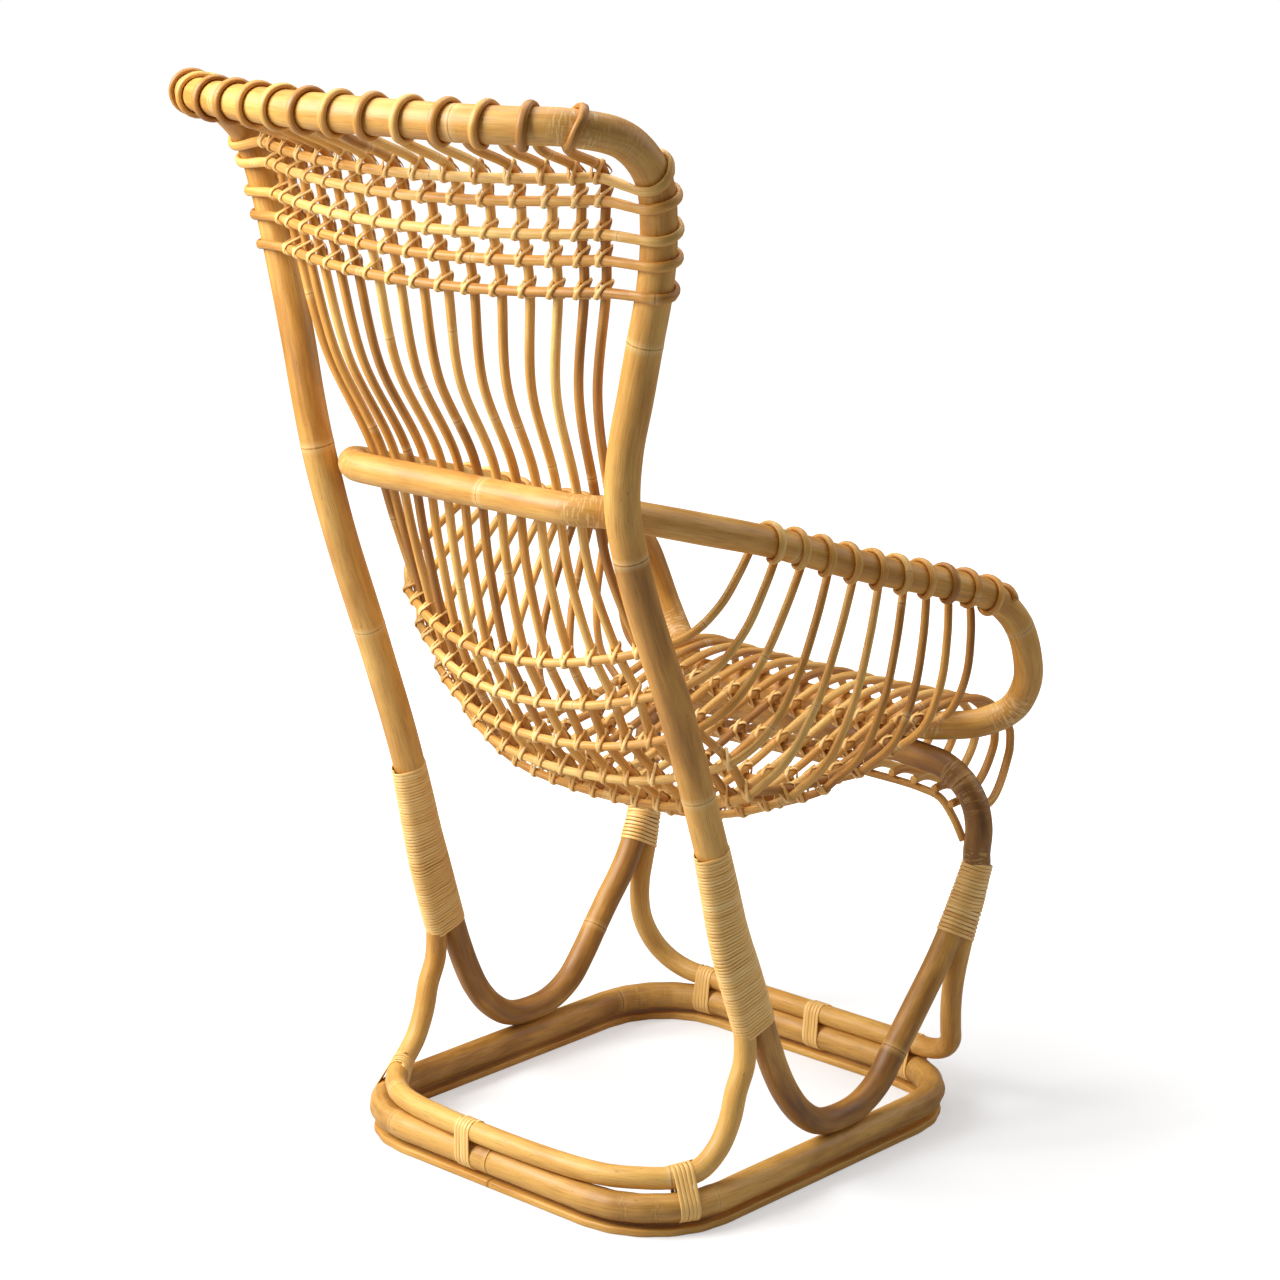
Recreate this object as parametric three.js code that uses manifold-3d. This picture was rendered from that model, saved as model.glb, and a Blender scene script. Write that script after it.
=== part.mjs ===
// High-back lounge chair of bent rattan poles and canes, in millimetres, +Z up.
// The sitter faces -Y, so +X is the sitter's left hand. The pieces are drawn from the middle of the base, on
// the floor. At the end they all move so that the origin is below the middle of the whole chair.
import * as THREE from 'three';
import { mergeVertices } from 'three/addons/utils/BufferGeometryUtils.js';
import Module from 'manifold-3d';

const wasm = await Module();
wasm.setup();
const { clamp, lerp } = THREE.MathUtils;
const degree = Math.PI / 180;

// Driving sizes of the frame
const frameHalfWidth = 250;
const frameReach = 400;
const frameHeight = 1100;
const baseHalfWidth = 229;
const baseHalfDepth = 251;
const baseCornerRadius = 95;
const clearance = 0.3;

// Thicknesses of the poles and canes, as radii
const hoopRadius = 17.2;
const armRadius = 15.6;
const ringRadius = 15;
const sideRadius = 14.3;
const archRadius = 14.8;
const stretcherRadius = 11.5;
const warpRadius = 4.7;
const crossRadius = 4.4;
const headRadius = 4.8;
const stripRadius = 4.3;
const skidHeight = 8;
const skidWidth = 21;

// Peel that winds round the legs and the base
const peelThickness = 1.6;
const peelClearance = 0.6;
const backPeelClearance = 1.2;
const frontPeelClearance = 1.7;
const legPeelTurns = 14;
const frontPeelTurns = 6;
const basePeelTurns = 5;
const basePeelPitch = 4.4;

// Counts of canes, and of faces round and along them
const warpCount = 15;
const crossCount = 10;
const headCount = 5;
const poleSides = 8;
const thinPoleSides = 6;
const caneSides = 5;
const turnSteps = 7;
const lastTurnSteps = 11;

// Gaps between canes that cross, which also cover the flats of their faceted bends
const crossingGap = 0.9;
const headCrossingGap = 1.2;

// Gap between a cane's end and the start of its turn round a pole
const turnGap = 2;

// Surfaces
const poleMaterial = new THREE.MeshStandardMaterial({ color: 0xc99a5c, roughness: 0.48, metalness: 0 });
const darkPoleMaterial = new THREE.MeshStandardMaterial({ color: 0xa5763f, roughness: 0.5, metalness: 0 });
const caneMaterial = new THREE.MeshStandardMaterial({ color: 0xd3a15c, roughness: 0.52, metalness: 0 });
const peelMaterial = new THREE.MeshStandardMaterial({ color: 0xe8cf98, roughness: 0.6, metalness: 0 });

const chair = new THREE.Group();
chair.name = 'rattan_lounge_chair';

function addPiece(name, geometry, material) {
  const mesh = new THREE.Mesh(geometry, material);
  mesh.name = name;
  chair.add(mesh);
}

// A path whose steps lie on chosen stations, so that tight bends get more of them
class StationPath extends THREE.Curve {
  constructor(stations) {
    super();
    this.stations = stations;
  }

  getPoint(along, target = new THREE.Vector3()) {
    const last = this.stations.length - 1;
    const place = clamp(along, 0, 1) * last;
    const index = Math.min(Math.floor(place), last - 1);
    return target.lerpVectors(this.stations[index], this.stations[index + 1], place - index);
  }

  getPointAt(along, target) {
    return this.getPoint(along, target);
  }

  getTangentAt(along, target = new THREE.Vector3()) {
    const last = this.stations.length - 1;
    const index = Math.round(along * last);
    const before = this.stations[Math.max(index - 1, 0)];
    const after = this.stations[Math.min(index + 1, last)];
    return target.subVectors(after, before).normalize();
  }
}

// The left half of a route that runs from the right end to the left end
function leftHalf(stations) {
  return new StationPath(stations.slice((stations.length - 1) / 2));
}

function extrudeAlong(stations, outline) {
  return new THREE.ExtrudeGeometry(new THREE.Shape(outline), {
    steps: stations.length - 1,
    bevelEnabled: false,
    extrudePath: new StationPath(stations),
  });
}

function pole(stations, radius, sides) {
  const outline = [];
  for (let i = 0; i < sides; i += 1) {
    const angle = (2 * Math.PI * i) / sides;
    outline.push(new THREE.Vector2(radius * Math.cos(angle), radius * Math.sin(angle)));
  }
  return extrudeAlong(stations, outline);
}

// Shares of the half width, of the reach backwards and of the height, made into places
function placeShares(shares, side = 1) {
  return shares.map(([across, back, up]) => new THREE.Vector3(
    side * across * frameHalfWidth,
    back * frameReach,
    up * frameHeight,
  ));
}

function flipped(point) {
  return new THREE.Vector3(-point.x, point.y, point.z);
}

function sided(points, side) {
  return side > 0 ? points : points.map(flipped);
}

// A whole route from its left half, which starts in the middle of the chair
function bothSides(half) {
  const right = half.slice(1).reverse().map(flipped);
  return [...right, ...half];
}

function smoothCurve(points) {
  return new THREE.CatmullRomCurve3(points, false, 'centripetal');
}

// Spaced stations of a curve, with one more near each end, so that the pole runs into its joints square
function jointedStations(curve, steps, startDirection, endDirection, lead) {
  const stations = curve.getSpacedPoints(steps);
  const first = stations[0];
  const last = stations[stations.length - 1];
  stations.splice(1, 0, first.clone().addScaledVector(startDirection, lead));
  stations.splice(stations.length - 1, 0, last.clone().addScaledVector(endDirection, -lead));
  return stations;
}

// The corners of a peel's flats stand this much further from a pole's axis than the flats do
const flatGrowth = 1.1;

// Base: a thin skid on the floor and a rounded ring of pole on it
const ringHeight = skidHeight + clearance + (ringRadius + peelClearance + peelThickness) * flatGrowth;
const cornerSteps = 5;

function ringStations(height) {
  const straightX = baseHalfWidth - baseCornerRadius;
  const straightY = baseHalfDepth - baseCornerRadius;
  const centres = [[1, 1], [1, -1], [-1, -1], [-1, 1]];
  const stations = [new THREE.Vector3(clearance / 2, baseHalfDepth, height)];
  centres.forEach(([signX, signY], corner) => {
    const startAngle = Math.PI / 2 - (corner * Math.PI) / 2;
    for (let i = 0; i <= cornerSteps; i += 1) {
      const angle = startAngle - (i / cornerSteps) * (Math.PI / 2);
      stations.push(new THREE.Vector3(
        signX * straightX + baseCornerRadius * Math.cos(angle),
        signY * straightY + baseCornerRadius * Math.sin(angle),
        height,
      ));
    }
  });
  stations.push(new THREE.Vector3(-clearance / 2, baseHalfDepth, height));
  return stations;
}

addPiece('base_ring', pole(ringStations(ringHeight), ringRadius, poleSides), darkPoleMaterial);

function skidGeometry() {
  const halfHeight = skidHeight / 2;
  const halfWidth = skidWidth / 2;
  const outline = [
    new THREE.Vector2(halfHeight, halfWidth),
    new THREE.Vector2(-halfHeight, halfWidth),
    new THREE.Vector2(-halfHeight, -halfWidth),
    new THREE.Vector2(halfHeight, -halfWidth),
  ];
  return extrudeAlong(ringStations(halfHeight), outline);
}

addPiece('ring_skid', skidGeometry(), poleMaterial);

// Back hoop: one bent pole, the top rail in the middle and a post down each side
const hoopShares = [
  [0, 1.142, 1.02], [0.38, 1.118, 1.0195], [0.72, 1.075, 1.019], [0.944, 1.022, 1.019],
  [1.066, 0.955, 1.0165], [1.108, 0.825, 0.998], [1.096, 0.76, 0.965], [1.052, 0.725, 0.898],
  [0.952, 0.718, 0.804], [0.856, 0.712, 0.7], [0.848, 0.64, 0.602], [0.864, 0.538, 0.505],
  [0.868, 0.428, 0.389], [0.88, 0.333, 0.273],
];
const hoopHalf = placeShares(hoopShares);
const hoopSteps = 44;

function directionTo(from, to) {
  return new THREE.Vector3().subVectors(to, from).normalize();
}

const sideStartShares = [[0.9, 0.25, 0.195], [0.908, 0.18, 0.127]];
const sideStart = placeShares(sideStartShares);
const sideTop = hoopHalf[hoopHalf.length - 1];
const sideTopDirection = directionTo(hoopHalf[hoopHalf.length - 2], sideStart[0]);
const hoopStations = jointedStations(
  smoothCurve(bothSides(hoopHalf)),
  hoopSteps,
  flipped(sideTopDirection).negate(),
  sideTopDirection,
  sideRadius,
);

const hoopPath = leftHalf(hoopStations);

// The top rail, and how far along it each of its stations lies, from the middle to the left
const railHeightShare = 0.98;
const railPath = new StationPath(hoopStations.filter((point) => point.z > railHeightShare * frameHeight));
const railPlaces = new Map();
for (const [index, station] of railPath.stations.entries()) {
  const before = railPath.stations[index - 1];
  railPlaces.set(station, before ? railPlaces.get(before) + station.distanceTo(before) : 0);
}
const railMiddle = railPlaces.get(railPath.stations[railPath.stations.length - 1]) / 2;

addPiece('back_hoop', pole(hoopStations, hoopRadius, poleSides), poleMaterial);

// Arm rail: one bent pole behind the back, along both arms and round a loop at each front end
const armShares = [
  [0, 0.72, 0.679], [0.36, 0.72, 0.679], [0.6, 0.714, 0.679], [0.72, 0.657, 0.677], [0.772, 0.537, 0.665],
  [0.816, 0.375, 0.648], [0.85, 0.162, 0.625], [0.96, -0.15, 0.585], [1.036, -0.405, 0.557],
  [1.052, -0.55, 0.538], [1.072, -0.652, 0.51], [1.066, -0.722, 0.462], [1.016, -0.745, 0.421],
  [0.924, -0.728, 0.4], [0.82, -0.68, 0.39], [0.71, -0.625, 0.3885],
];
const armHalf = placeShares(armShares);
const archTopShare = 0.361;
const frontBackShare = -0.6;
const frontRailHeight = archTopShare * frameHeight + archRadius + armRadius + clearance;
const frontRailBack = frontBackShare * frameReach;
const frontRailEndShare = 0.6;
const frontRailEnd = new THREE.Vector3(frontRailEndShare * frameHalfWidth, frontRailBack, frontRailHeight);
armHalf.push(frontRailEnd);
const armSteps = 52;

const inwardDirection = new THREE.Vector3(-1, 0, 0);
const armStations = jointedStations(
  smoothCurve(bothSides(armHalf)),
  armSteps,
  inwardDirection,
  inwardDirection,
  armRadius,
);

const armPath = leftHalf(armStations);

addPiece('arm_rail', pole(armStations, armRadius, poleSides), poleMaterial);

// Seat front rail, straight between the two loops and butted on their ends
const frontRailInner = frontRailEnd.clone().setX(frontRailEnd.x - clearance);
addPiece(
  'seat_front_rail',
  pole([flipped(frontRailInner), frontRailInner], armRadius, poleSides),
  poleMaterial,
);

// Side poles: a V on each side, from the post down to the ring and up to the front arch
const sideFootHeight = ringHeight + ringRadius + sideRadius + clearance;
const sideEndShares = [[0.924, -0.375, 0.127], [0.93, -0.49, 0.177], [0.944, -0.555, 0.218]];
const sideFootShares = [[0.11, 0.033], [0.02, 0.006], [-0.1, 0], [-0.21, 0.01], [-0.3, 0.042]];
const archLegShares = [[0.96, -0.59, 0.247]];
const [archFoot] = placeShares(archLegShares);

function towards(from, to, distance) {
  return new THREE.Vector3().subVectors(to, from).setLength(distance).add(from);
}

const sideEnd = placeShares(sideEndShares);
const sideFoot = sideFootShares.map(([back, up]) => new THREE.Vector3(
  baseHalfWidth,
  back * frameReach,
  sideFootHeight + up * frameHeight,
));
const sideHead = sideTop.clone().addScaledVector(sideTopDirection, clearance);
const sideTail = towards(archFoot, sideEnd[sideEnd.length - 1], clearance);
const sideRoute = [sideHead, ...sideStart, ...sideFoot, ...sideEnd, sideTail];
const sideEndDirection = directionTo(sideEnd[sideEnd.length - 1], archFoot);
const sidePoleSteps = 18;

const sideStations = jointedStations(
  smoothCurve(sideRoute),
  sidePoleSteps,
  sideTopDirection,
  sideEndDirection,
  sideRadius,
);

for (const [side, word] of [[1, 'left'], [-1, 'right']]) {
  addPiece(`side_pole_${word}`, pole(sided(sideStations, side), sideRadius, poleSides), darkPoleMaterial);
}

// Front arch under the seat front rail, standing on the side poles
const archShares = [
  [0, frontBackShare, archTopShare], [0.4, frontBackShare, 0.36], [0.66, frontBackShare, 0.357],
  [0.82, -0.602, 0.35], [0.92, -0.605, 0.33], [0.964, -0.607, 0.309], [0.97, -0.604, 0.281],
];
const archHalf = [...placeShares(archShares), archFoot];
const archSteps = 24;
const archStations = jointedStations(
  smoothCurve(bothSides(archHalf)),
  archSteps,
  flipped(sideEndDirection),
  sideEndDirection.clone().negate(),
  sideRadius,
);

const archPath = leftHalf(archStations);

addPiece('front_arch', pole(archStations, archRadius, poleSides), darkPoleMaterial);

// Strip rail inside the arch, which the ends of the seat canes rest on
const stripShares = [
  [0, frontBackShare, 0.327], [0.36, frontBackShare, 0.326], [0.62, frontBackShare, 0.3245],
  [0.76, frontBackShare, 0.3195], [0.83, frontBackShare, 0.308], [0.852, frontBackShare, 0.293],
];
const stripHalf = placeShares(stripShares);
const archLeg = archHalf[archHalf.length - 2];
const archFlatRadius = archRadius * Math.cos(Math.PI / poleSides);
stripHalf.push(new THREE.Vector3(
  archLeg.x - archFlatRadius - stripRadius - clearance,
  frontRailBack,
  archLeg.z,
));
const stripHalfCurve = smoothCurve(stripHalf);
const stripSteps = 18;

addPiece(
  'strip_rail',
  pole(smoothCurve(bothSides(stripHalf)).getSpacedPoints(stripSteps), stripRadius, thinPoleSides),
  poleMaterial,
);

// Solids for the cuts
function solidFrom(geometry) {
  const plain = geometry.clone();
  plain.deleteAttribute('normal');
  plain.deleteAttribute('uv');
  const merged = mergeVertices(plain);
  return new wasm.Manifold(new wasm.Mesh({
    numProp: 3,
    vertProperties: new Float32Array(merged.attributes.position.array),
    triVerts: new Uint32Array(merged.index.array),
  }));
}

function geometryFrom(solid) {
  const mesh = solid.getMesh();
  const geometry = new THREE.BufferGeometry();
  geometry.setAttribute('position', new THREE.BufferAttribute(new Float32Array(mesh.vertProperties), 3));
  geometry.setIndex(new THREE.BufferAttribute(new Uint32Array(mesh.triVerts), 1));
  return geometry;
}

// Legs: the axis of the main pole, met from the side by a stretcher's scarfed end
const xAxis = new THREE.Vector3(1, 0, 0);

// First point along a path where a measure of the point has grown to the wanted size
function pointWhere({ stations }, measure, wanted) {
  const index = stations.findIndex((station) => measure(station) >= wanted);
  if (index < 0) return stations[stations.length - 1].clone();
  if (index === 0) return stations[0].clone();
  const before = measure(stations[index - 1]);
  const share = (wanted - before) / (measure(stations[index]) - before);
  return new THREE.Vector3().lerpVectors(stations[index - 1], stations[index], share);
}

function pointAtHeight(path, height) {
  return pointWhere(path, (point) => -point.z, -height);
}

const backLegAxis = new StationPath([...hoopPath.stations, ...sideStations]);
const frontLegAxis = new StationPath([...archPath.stations, ...sideStations.slice().reverse()]);
const backWrap = {
  axis: backLegAxis,
  topShare: 0.362,
  bottomShare: 0.164,
  topRadius: hoopRadius,
  outward: 1,
  topMargin: 0.02,
  bottomMargin: 0.08,
  lift: backPeelClearance,
};
const frontWrap = {
  axis: frontLegAxis,
  topShare: 0.272,
  bottomShare: 0.193,
  topRadius: archRadius,
  outward: -1,
  topMargin: 0.12,
  bottomMargin: 0.02,
  lift: frontPeelClearance,
};
const scarfTip = 2.6;
const nearShare = 0.05;

// Cross-section of a wrapped leg at a share of the wrap's length, from its top to its bottom
function wrapSection(wrap, share) {
  const top = wrap.topShare * frameHeight;
  const bottom = wrap.bottomShare * frameHeight;
  const height = lerp(top, bottom, share);
  const nearBy = (top - bottom) * nearShare;
  const main = pointAtHeight(wrap.axis, height);
  const above = pointAtHeight(wrap.axis, height + nearBy);
  const below = pointAtHeight(wrap.axis, height - nearBy);
  const along = new THREE.Vector3().subVectors(below, above).normalize();
  const outward = new THREE.Vector3().crossVectors(xAxis, along).multiplyScalar(wrap.outward).normalize();
  const tipOffset = wrap.topRadius - stretcherRadius + scarfTip;
  const fullOffset = sideRadius + stretcherRadius + clearance;
  const offset = lerp(tipOffset, fullOffset, share);
  const second = main.clone().addScaledVector(outward, offset);
  return { main, second, along, outward };
}

// Stretchers: on the ring at the back and at the front, rising into the wrapped legs
const stretcherHeight = ringHeight + ringRadius + stretcherRadius + clearance;
const backStretcherShares = [[0, 1.012, 0], [0.36, 1, 0]];
const backCornerShares = [[4, 0.923], [22, 0.873], [44, 0.849], [61, 0.867]];
const frontStretcherShares = [[0, -1, 0], [0.4, -1, 0], [0.62, -1, 0], [0.76, -0.985, 0.004]];

// Between the ring and the leg: shares of the way across, back and up, and a bulge as a share of the reach
const backRiseShares = [
  [0.4, 0.144, 0.019, 0], [0.7, 0.36, 0.085, 0], [0.85, 0.537, 0.226, 0], [0.95, 0.695, 0.434, 0],
  [1, 0.853, 0.82, 0],
];
const frontRiseShares = [[0.573, 0.4, 0.125, 0.0085], [0.87, 0.75, 0.398, 0.035], [0.962, 0.9, 0.671, 0.034]];
const scarfShares = [1, 0.75, 0.5, 0.25, 0];
const stretcherSteps = 40;

// A place at the ring's back left corner: degrees from the back, and a share of the corner's radius
function cornerPlace([degrees, share], height) {
  const reach = share * baseCornerRadius;
  return new THREE.Vector3(
    baseHalfWidth - baseCornerRadius + reach * Math.sin(degrees * degree),
    baseHalfDepth - baseCornerRadius + reach * Math.cos(degrees * degree),
    height,
  );
}

function stretcherPath(ringShares, cornerShares, riseShares, wrap) {
  const straight = ringShares.map(([across, back, up]) => new THREE.Vector3(
    across * frameHalfWidth,
    back * baseHalfDepth,
    stretcherHeight + up * frameHeight,
  ));
  const flat = [...straight, ...cornerShares.map((share) => cornerPlace(share, stretcherHeight))];
  const scarf = scarfShares.map((share) => wrapSection(wrap, share).second);
  const [ringEnd, legEnd] = [flat[flat.length - 1], scarf[0]];
  const rise = riseShares.map(([across, back, up, bulge]) => new THREE.Vector3(
    lerp(ringEnd.x, legEnd.x, across),
    lerp(ringEnd.y, legEnd.y, back) + bulge * frameReach,
    lerp(ringEnd.z, legEnd.z, up),
  ));
  const route = smoothCurve(bothSides([...flat, ...rise, ...scarf]));
  return new StationPath(route.getSpacedPoints(stretcherSteps));
}

function scarfed({ stations }, cutters) {
  let solid = solidFrom(pole(stations, stretcherRadius, thinPoleSides));
  for (const cutter of cutters) solid = solid.subtract(solidFrom(cutter));
  return geometryFrom(solid);
}

const backStretcher = stretcherPath(backStretcherShares, backCornerShares, backRiseShares, backWrap);
const frontStretcher = stretcherPath(frontStretcherShares, [], frontRiseShares, frontWrap);
const hoopCutter = pole(hoopStations, hoopRadius + clearance, poleSides);
const archCutter = pole(archStations, archRadius + clearance, poleSides);

// The side poles' cutters run on past their butt joints, so that no fin is left in the joint
const sideCutterStations = [
  sideTop.clone().addScaledVector(sideTopDirection, -sideRadius),
  ...sideStations.slice(1, -1),
  archFoot.clone().addScaledVector(sideEndDirection, sideRadius),
];
const sideCutters = [1, -1].map((side) => pole(
  sided(sideCutterStations, side),
  sideRadius + clearance,
  poleSides,
));

addPiece('back_stretcher', scarfed(backStretcher, [hoopCutter, ...sideCutters]), poleMaterial);
addPiece('front_stretcher', scarfed(frontStretcher, [archCutter, ...sideCutters]), poleMaterial);

// Peel windings: a flat strip wound round a pair of poles as one unbroken band
function loft(sections) {
  const around = sections[0].length;
  const positions = sections.flat().flatMap((point) => [point.x, point.y, point.z]);
  const faces = [];
  for (let i = 0; i + 1 < sections.length; i += 1) {
    for (let j = 0; j < around; j += 1) {
      const here = i * around + j;
      const next = i * around + ((j + 1) % around);
      faces.push([here, next, next + around], [here, next + around, here + around]);
    }
  }
  const last = (sections.length - 1) * around;
  for (let j = 1; j + 1 < around; j += 1) {
    faces.push([0, j + 1, j], [last, last + j, last + j + 1]);
  }
  let volume = 0;
  const corner = (index) => new THREE.Vector3(...positions.slice(3 * index, 3 * index + 3));
  for (const [a, b, c] of faces) volume += corner(a).dot(corner(b).cross(corner(c)));
  const outwardFaces = volume > 0 ? faces : faces.map(([a, b, c]) => [a, c, b]);
  const geometry = new THREE.BufferGeometry();
  geometry.setAttribute('position', new THREE.Float32BufferAttribute(positions, 3));
  geometry.setIndex(outwardFaces.flat());
  return geometry;
}

const flatsPerPole = 4;
const flatsPerTurn = 2 * flatsPerPole;

// Each turn runs round both poles on flats that touch them. The flats' angles are taken from the outward
// direction: the middle ones touch the second pole, and the others, up to a half turn, the main one.
function windingFlat({ main, second, mainRadius, secondRadius }, index, lift) {
  const spread = second.distanceTo(main);
  const sideAngle = Math.acos((mainRadius - secondRadius) / spread);
  const place = Math.abs(index) / (flatsPerPole / 2);
  const onSecond = place <= 1;
  const size = onSecond ? place * sideAngle : lerp(sideAngle, Math.PI, place - 1);
  const reach = onSecond ? spread * Math.cos(size) + secondRadius : mainRadius;
  return { angle: Math.sign(index) * size, reach: reach + lift };
}

// The corner between a flat and the next one, at a lift above the poles and a shift along them
function windingCorner(section, index, lift, shift) {
  const { main, along, outward } = section;
  const here = windingFlat(section, index, lift);
  const next = windingFlat(section, index + 1, lift);
  const turn = Math.sin(next.angle - here.angle);
  const out = (here.reach * Math.sin(next.angle) - next.reach * Math.sin(here.angle)) / turn;
  const aside = (next.reach * Math.cos(here.angle) - here.reach * Math.cos(next.angle)) / turn;
  const sideways = new THREE.Vector3().crossVectors(along, outward).normalize();
  return main.clone()
    .addScaledVector(outward, out)
    .addScaledVector(sideways, aside)
    .addScaledVector(along, shift);
}

function windingSections(sectionAt, turns, width, lift) {
  const steps = turns * flatsPerTurn;
  const sections = [];
  for (let i = 0; i <= steps; i += 1) {
    const section = sectionAt(i / steps);
    const index = (i % flatsPerTurn) - flatsPerPole;
    const corner = (height, shift) => windingCorner(section, index, height, shift);
    sections.push([
      corner(lift + peelThickness, width / 2),
      corner(lift, width / 2),
      corner(lift, -width / 2),
      corner(lift + peelThickness, -width / 2),
    ]);
  }
  return sections;
}

// Least gap between neighbouring turns, from points along the facing edges
function leastGap(sections, perTurn) {
  const parts = 4;
  let least = Infinity;
  const edgePoints = (i, a) => {
    const points = [];
    for (let k = 0; k < parts; k += 1) {
      points.push(new THREE.Vector3().lerpVectors(sections[i][a], sections[i + 1][a], k / parts));
    }
    return points;
  };
  for (let i = 0; i + perTurn + 1 < sections.length; i += 1) {
    for (const [here, there] of [[0, 3], [1, 2]]) {
      for (const point of edgePoints(i, here)) {
        for (let j = i + perTurn - 1; j <= Math.min(i + perTurn + 1, sections.length - 2); j += 1) {
          for (const other of edgePoints(j, there)) least = Math.min(least, point.distanceTo(other));
        }
      }
    }
  }
  return least;
}

function addWinding(name, sections) {
  addPiece(name, loft(sections), peelMaterial);
  console.log(`${name}: least gap between turns ${leastGap(sections, flatsPerTurn).toFixed(2)} mm`);
}

// Where a path crosses the plane through a point and square to a direction, nearest to the point
function crossingNear({ stations }, point, direction) {
  const ahead = stations.map((station) => station.clone().sub(point).dot(direction));
  let best = null;
  for (let i = 1; i < stations.length; i += 1) {
    if (ahead[i - 1] !== ahead[i] && ahead[i - 1] * ahead[i] <= 0) {
      const share = ahead[i - 1] / (ahead[i - 1] - ahead[i]);
      const crossing = new THREE.Vector3().lerpVectors(stations[i - 1], stations[i], share);
      if (!best || crossing.distanceTo(point) < best.distanceTo(point)) best = crossing;
    }
  }
  return best;
}

const legPeelShare = 0.75;
const jointShare = 0.56;

function legSectionAt(wrap, stretcher) {
  return (share) => {
    const inside = lerp(wrap.topMargin, 1 - wrap.bottomMargin, share);
    const { main, along } = wrapSection(wrap, inside);
    const second = crossingNear(stretcher, main, along);
    const belowJoint = Math.max(0, (inside - jointShare) / (1 - jointShare));
    return {
      main,
      second,
      along,
      outward: directionTo(main, second),
      mainRadius: lerp(wrap.topRadius, sideRadius, belowJoint),
      secondRadius: stretcherRadius,
    };
  };
}

function wrapLength(wrap) {
  return wrapSection(wrap, 0).main.distanceTo(wrapSection(wrap, 1).main);
}

function sidedSections(sections, side) {
  return sections.map((section) => sided(section, side));
}

const legWraps = [
  ['back', backWrap, backStretcher, legPeelTurns],
  ['front', frontWrap, frontStretcher, frontPeelTurns],
];
for (const [place, wrap, stretcher, turns] of legWraps) {
  const width = (wrapLength(wrap) / turns) * legPeelShare;
  const sections = windingSections(legSectionAt(wrap, stretcher), turns, width, wrap.lift);
  for (const [side, word] of [[1, 'left'], [-1, 'right']]) {
    addWinding(`leg_wrap_${place}_${word}`, sidedSections(sections, side));
  }
}

// Base bindings: short windings that tie the stretchers to the ring
const searchSteps = 400;

function nearestPlace(path, point) {
  let best = 0;
  let least = Infinity;
  for (let i = 0; i <= searchSteps; i += 1) {
    const distance = path.getPoint(i / searchSteps).distanceTo(point);
    if (distance < least) {
      least = distance;
      best = i / searchSteps;
    }
  }
  return best;
}

const ringPath = new StationPath(ringStations(ringHeight));
const upAxis = new THREE.Vector3(0, 0, 1);

function bindingSectionAt(middle, stretcher) {
  const ringPlace = nearestPlace(ringPath, middle);
  const along = ringPath.getTangent(ringPlace);
  const ringMiddle = ringPath.getPoint(ringPlace);
  const length = basePeelTurns * basePeelPitch;
  return (share) => {
    const wanted = ringMiddle.clone().addScaledVector(along, (share - 0.5) * length);
    const main = crossingNear(ringPath, wanted, along);
    const second = crossingNear(stretcher, wanted, along);
    const outward = directionTo(main, second);
    return {
      main,
      second,
      along,
      outward,
      mainRadius: ringRadius,
      secondRadius: stretcherRadius,
    };
  };
}

function straightPlace([across, back]) {
  return new THREE.Vector3(across * frameHalfWidth, back * baseHalfDepth, ringHeight);
}

const basePeelShare = 0.84;
const cornerBindingShares = [64.5, 1];
const backMiddleShares = [0.14, 1];
const frontSideShares = [0.6, -1];
const frontMiddleShares = [-0.05, -1];
const cornerBinding = cornerPlace(cornerBindingShares, ringHeight);
const frontBinding = straightPlace(frontSideShares);
const bindings = [
  ['back_left', cornerBinding, backStretcher],
  ['back_middle', straightPlace(backMiddleShares), backStretcher],
  ['back_right', flipped(cornerBinding), backStretcher],
  ['front_left', frontBinding, frontStretcher],
  ['front_middle', straightPlace(frontMiddleShares), frontStretcher],
  ['front_right', flipped(frontBinding), frontStretcher],
];
for (const [word, middle, stretcher] of bindings) {
  const width = basePeelPitch * basePeelShare;
  const sectionAt = bindingSectionAt(middle, stretcher);
  addWinding(`base_binding_${word}`, windingSections(sectionAt, basePeelTurns, width, peelClearance));
}

// The seat and back as one curved surface. Each row gives a half width, then the places of the edge
// and of the middle, backwards and up. The rows run from the top rail down and forward to the front rail.
const topRow = 0;
const firstHeadRow = 1;
const lastHeadRow = 3;
const bulgeRow = 4;
const armRow = 5;
const lowerArmRow = 6;
const firstCrossRow = 7;
const shellShares = [
  [0.92, 0.93, 1, 1.087, 1.003],
  [0.904, 0.805, 0.9782, 0.92, 0.9718],
  [0.876, 0.78, 0.9273, 0.8725, 0.9209],
  [0.848, 0.7575, 0.8773, 0.8325, 0.87],
  [0.752, 0.725, 0.7836, 0.788, 0.7836],
  [0.664, 0.63, 0.6936, 0.664, 0.6964],
  [0.648, 0.565, 0.62, 0.625, 0.6055],
  [0.684, 0.4674, 0.5464, 0.5678, 0.5178],
  [0.716, 0.4087, 0.5077, 0.5082, 0.4763],
  [0.7, 0.3527, 0.4637, 0.4397, 0.4344],
  [0.736, 0.2519, 0.4259, 0.353, 0.3976],
  [0.748, 0.1858, 0.3933, 0.2378, 0.3661],
  [0.76, 0.0409, 0.3803, 0.1149, 0.3489],
  [0.764, -0.0908, 0.3777, -0.0229, 0.3463],
  [0.764, -0.2297, 0.3825, -0.168, 0.3578],
  [0.764, -0.3616, 0.3933, -0.3164, 0.3776],
  [0.764, -0.4856, 0.4064, -0.4589, 0.3967],
];
const railOverlap = 1.4;
const frontCaneHeight = frontRailHeight + armRadius + warpRadius + clearance + railOverlap;
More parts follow.
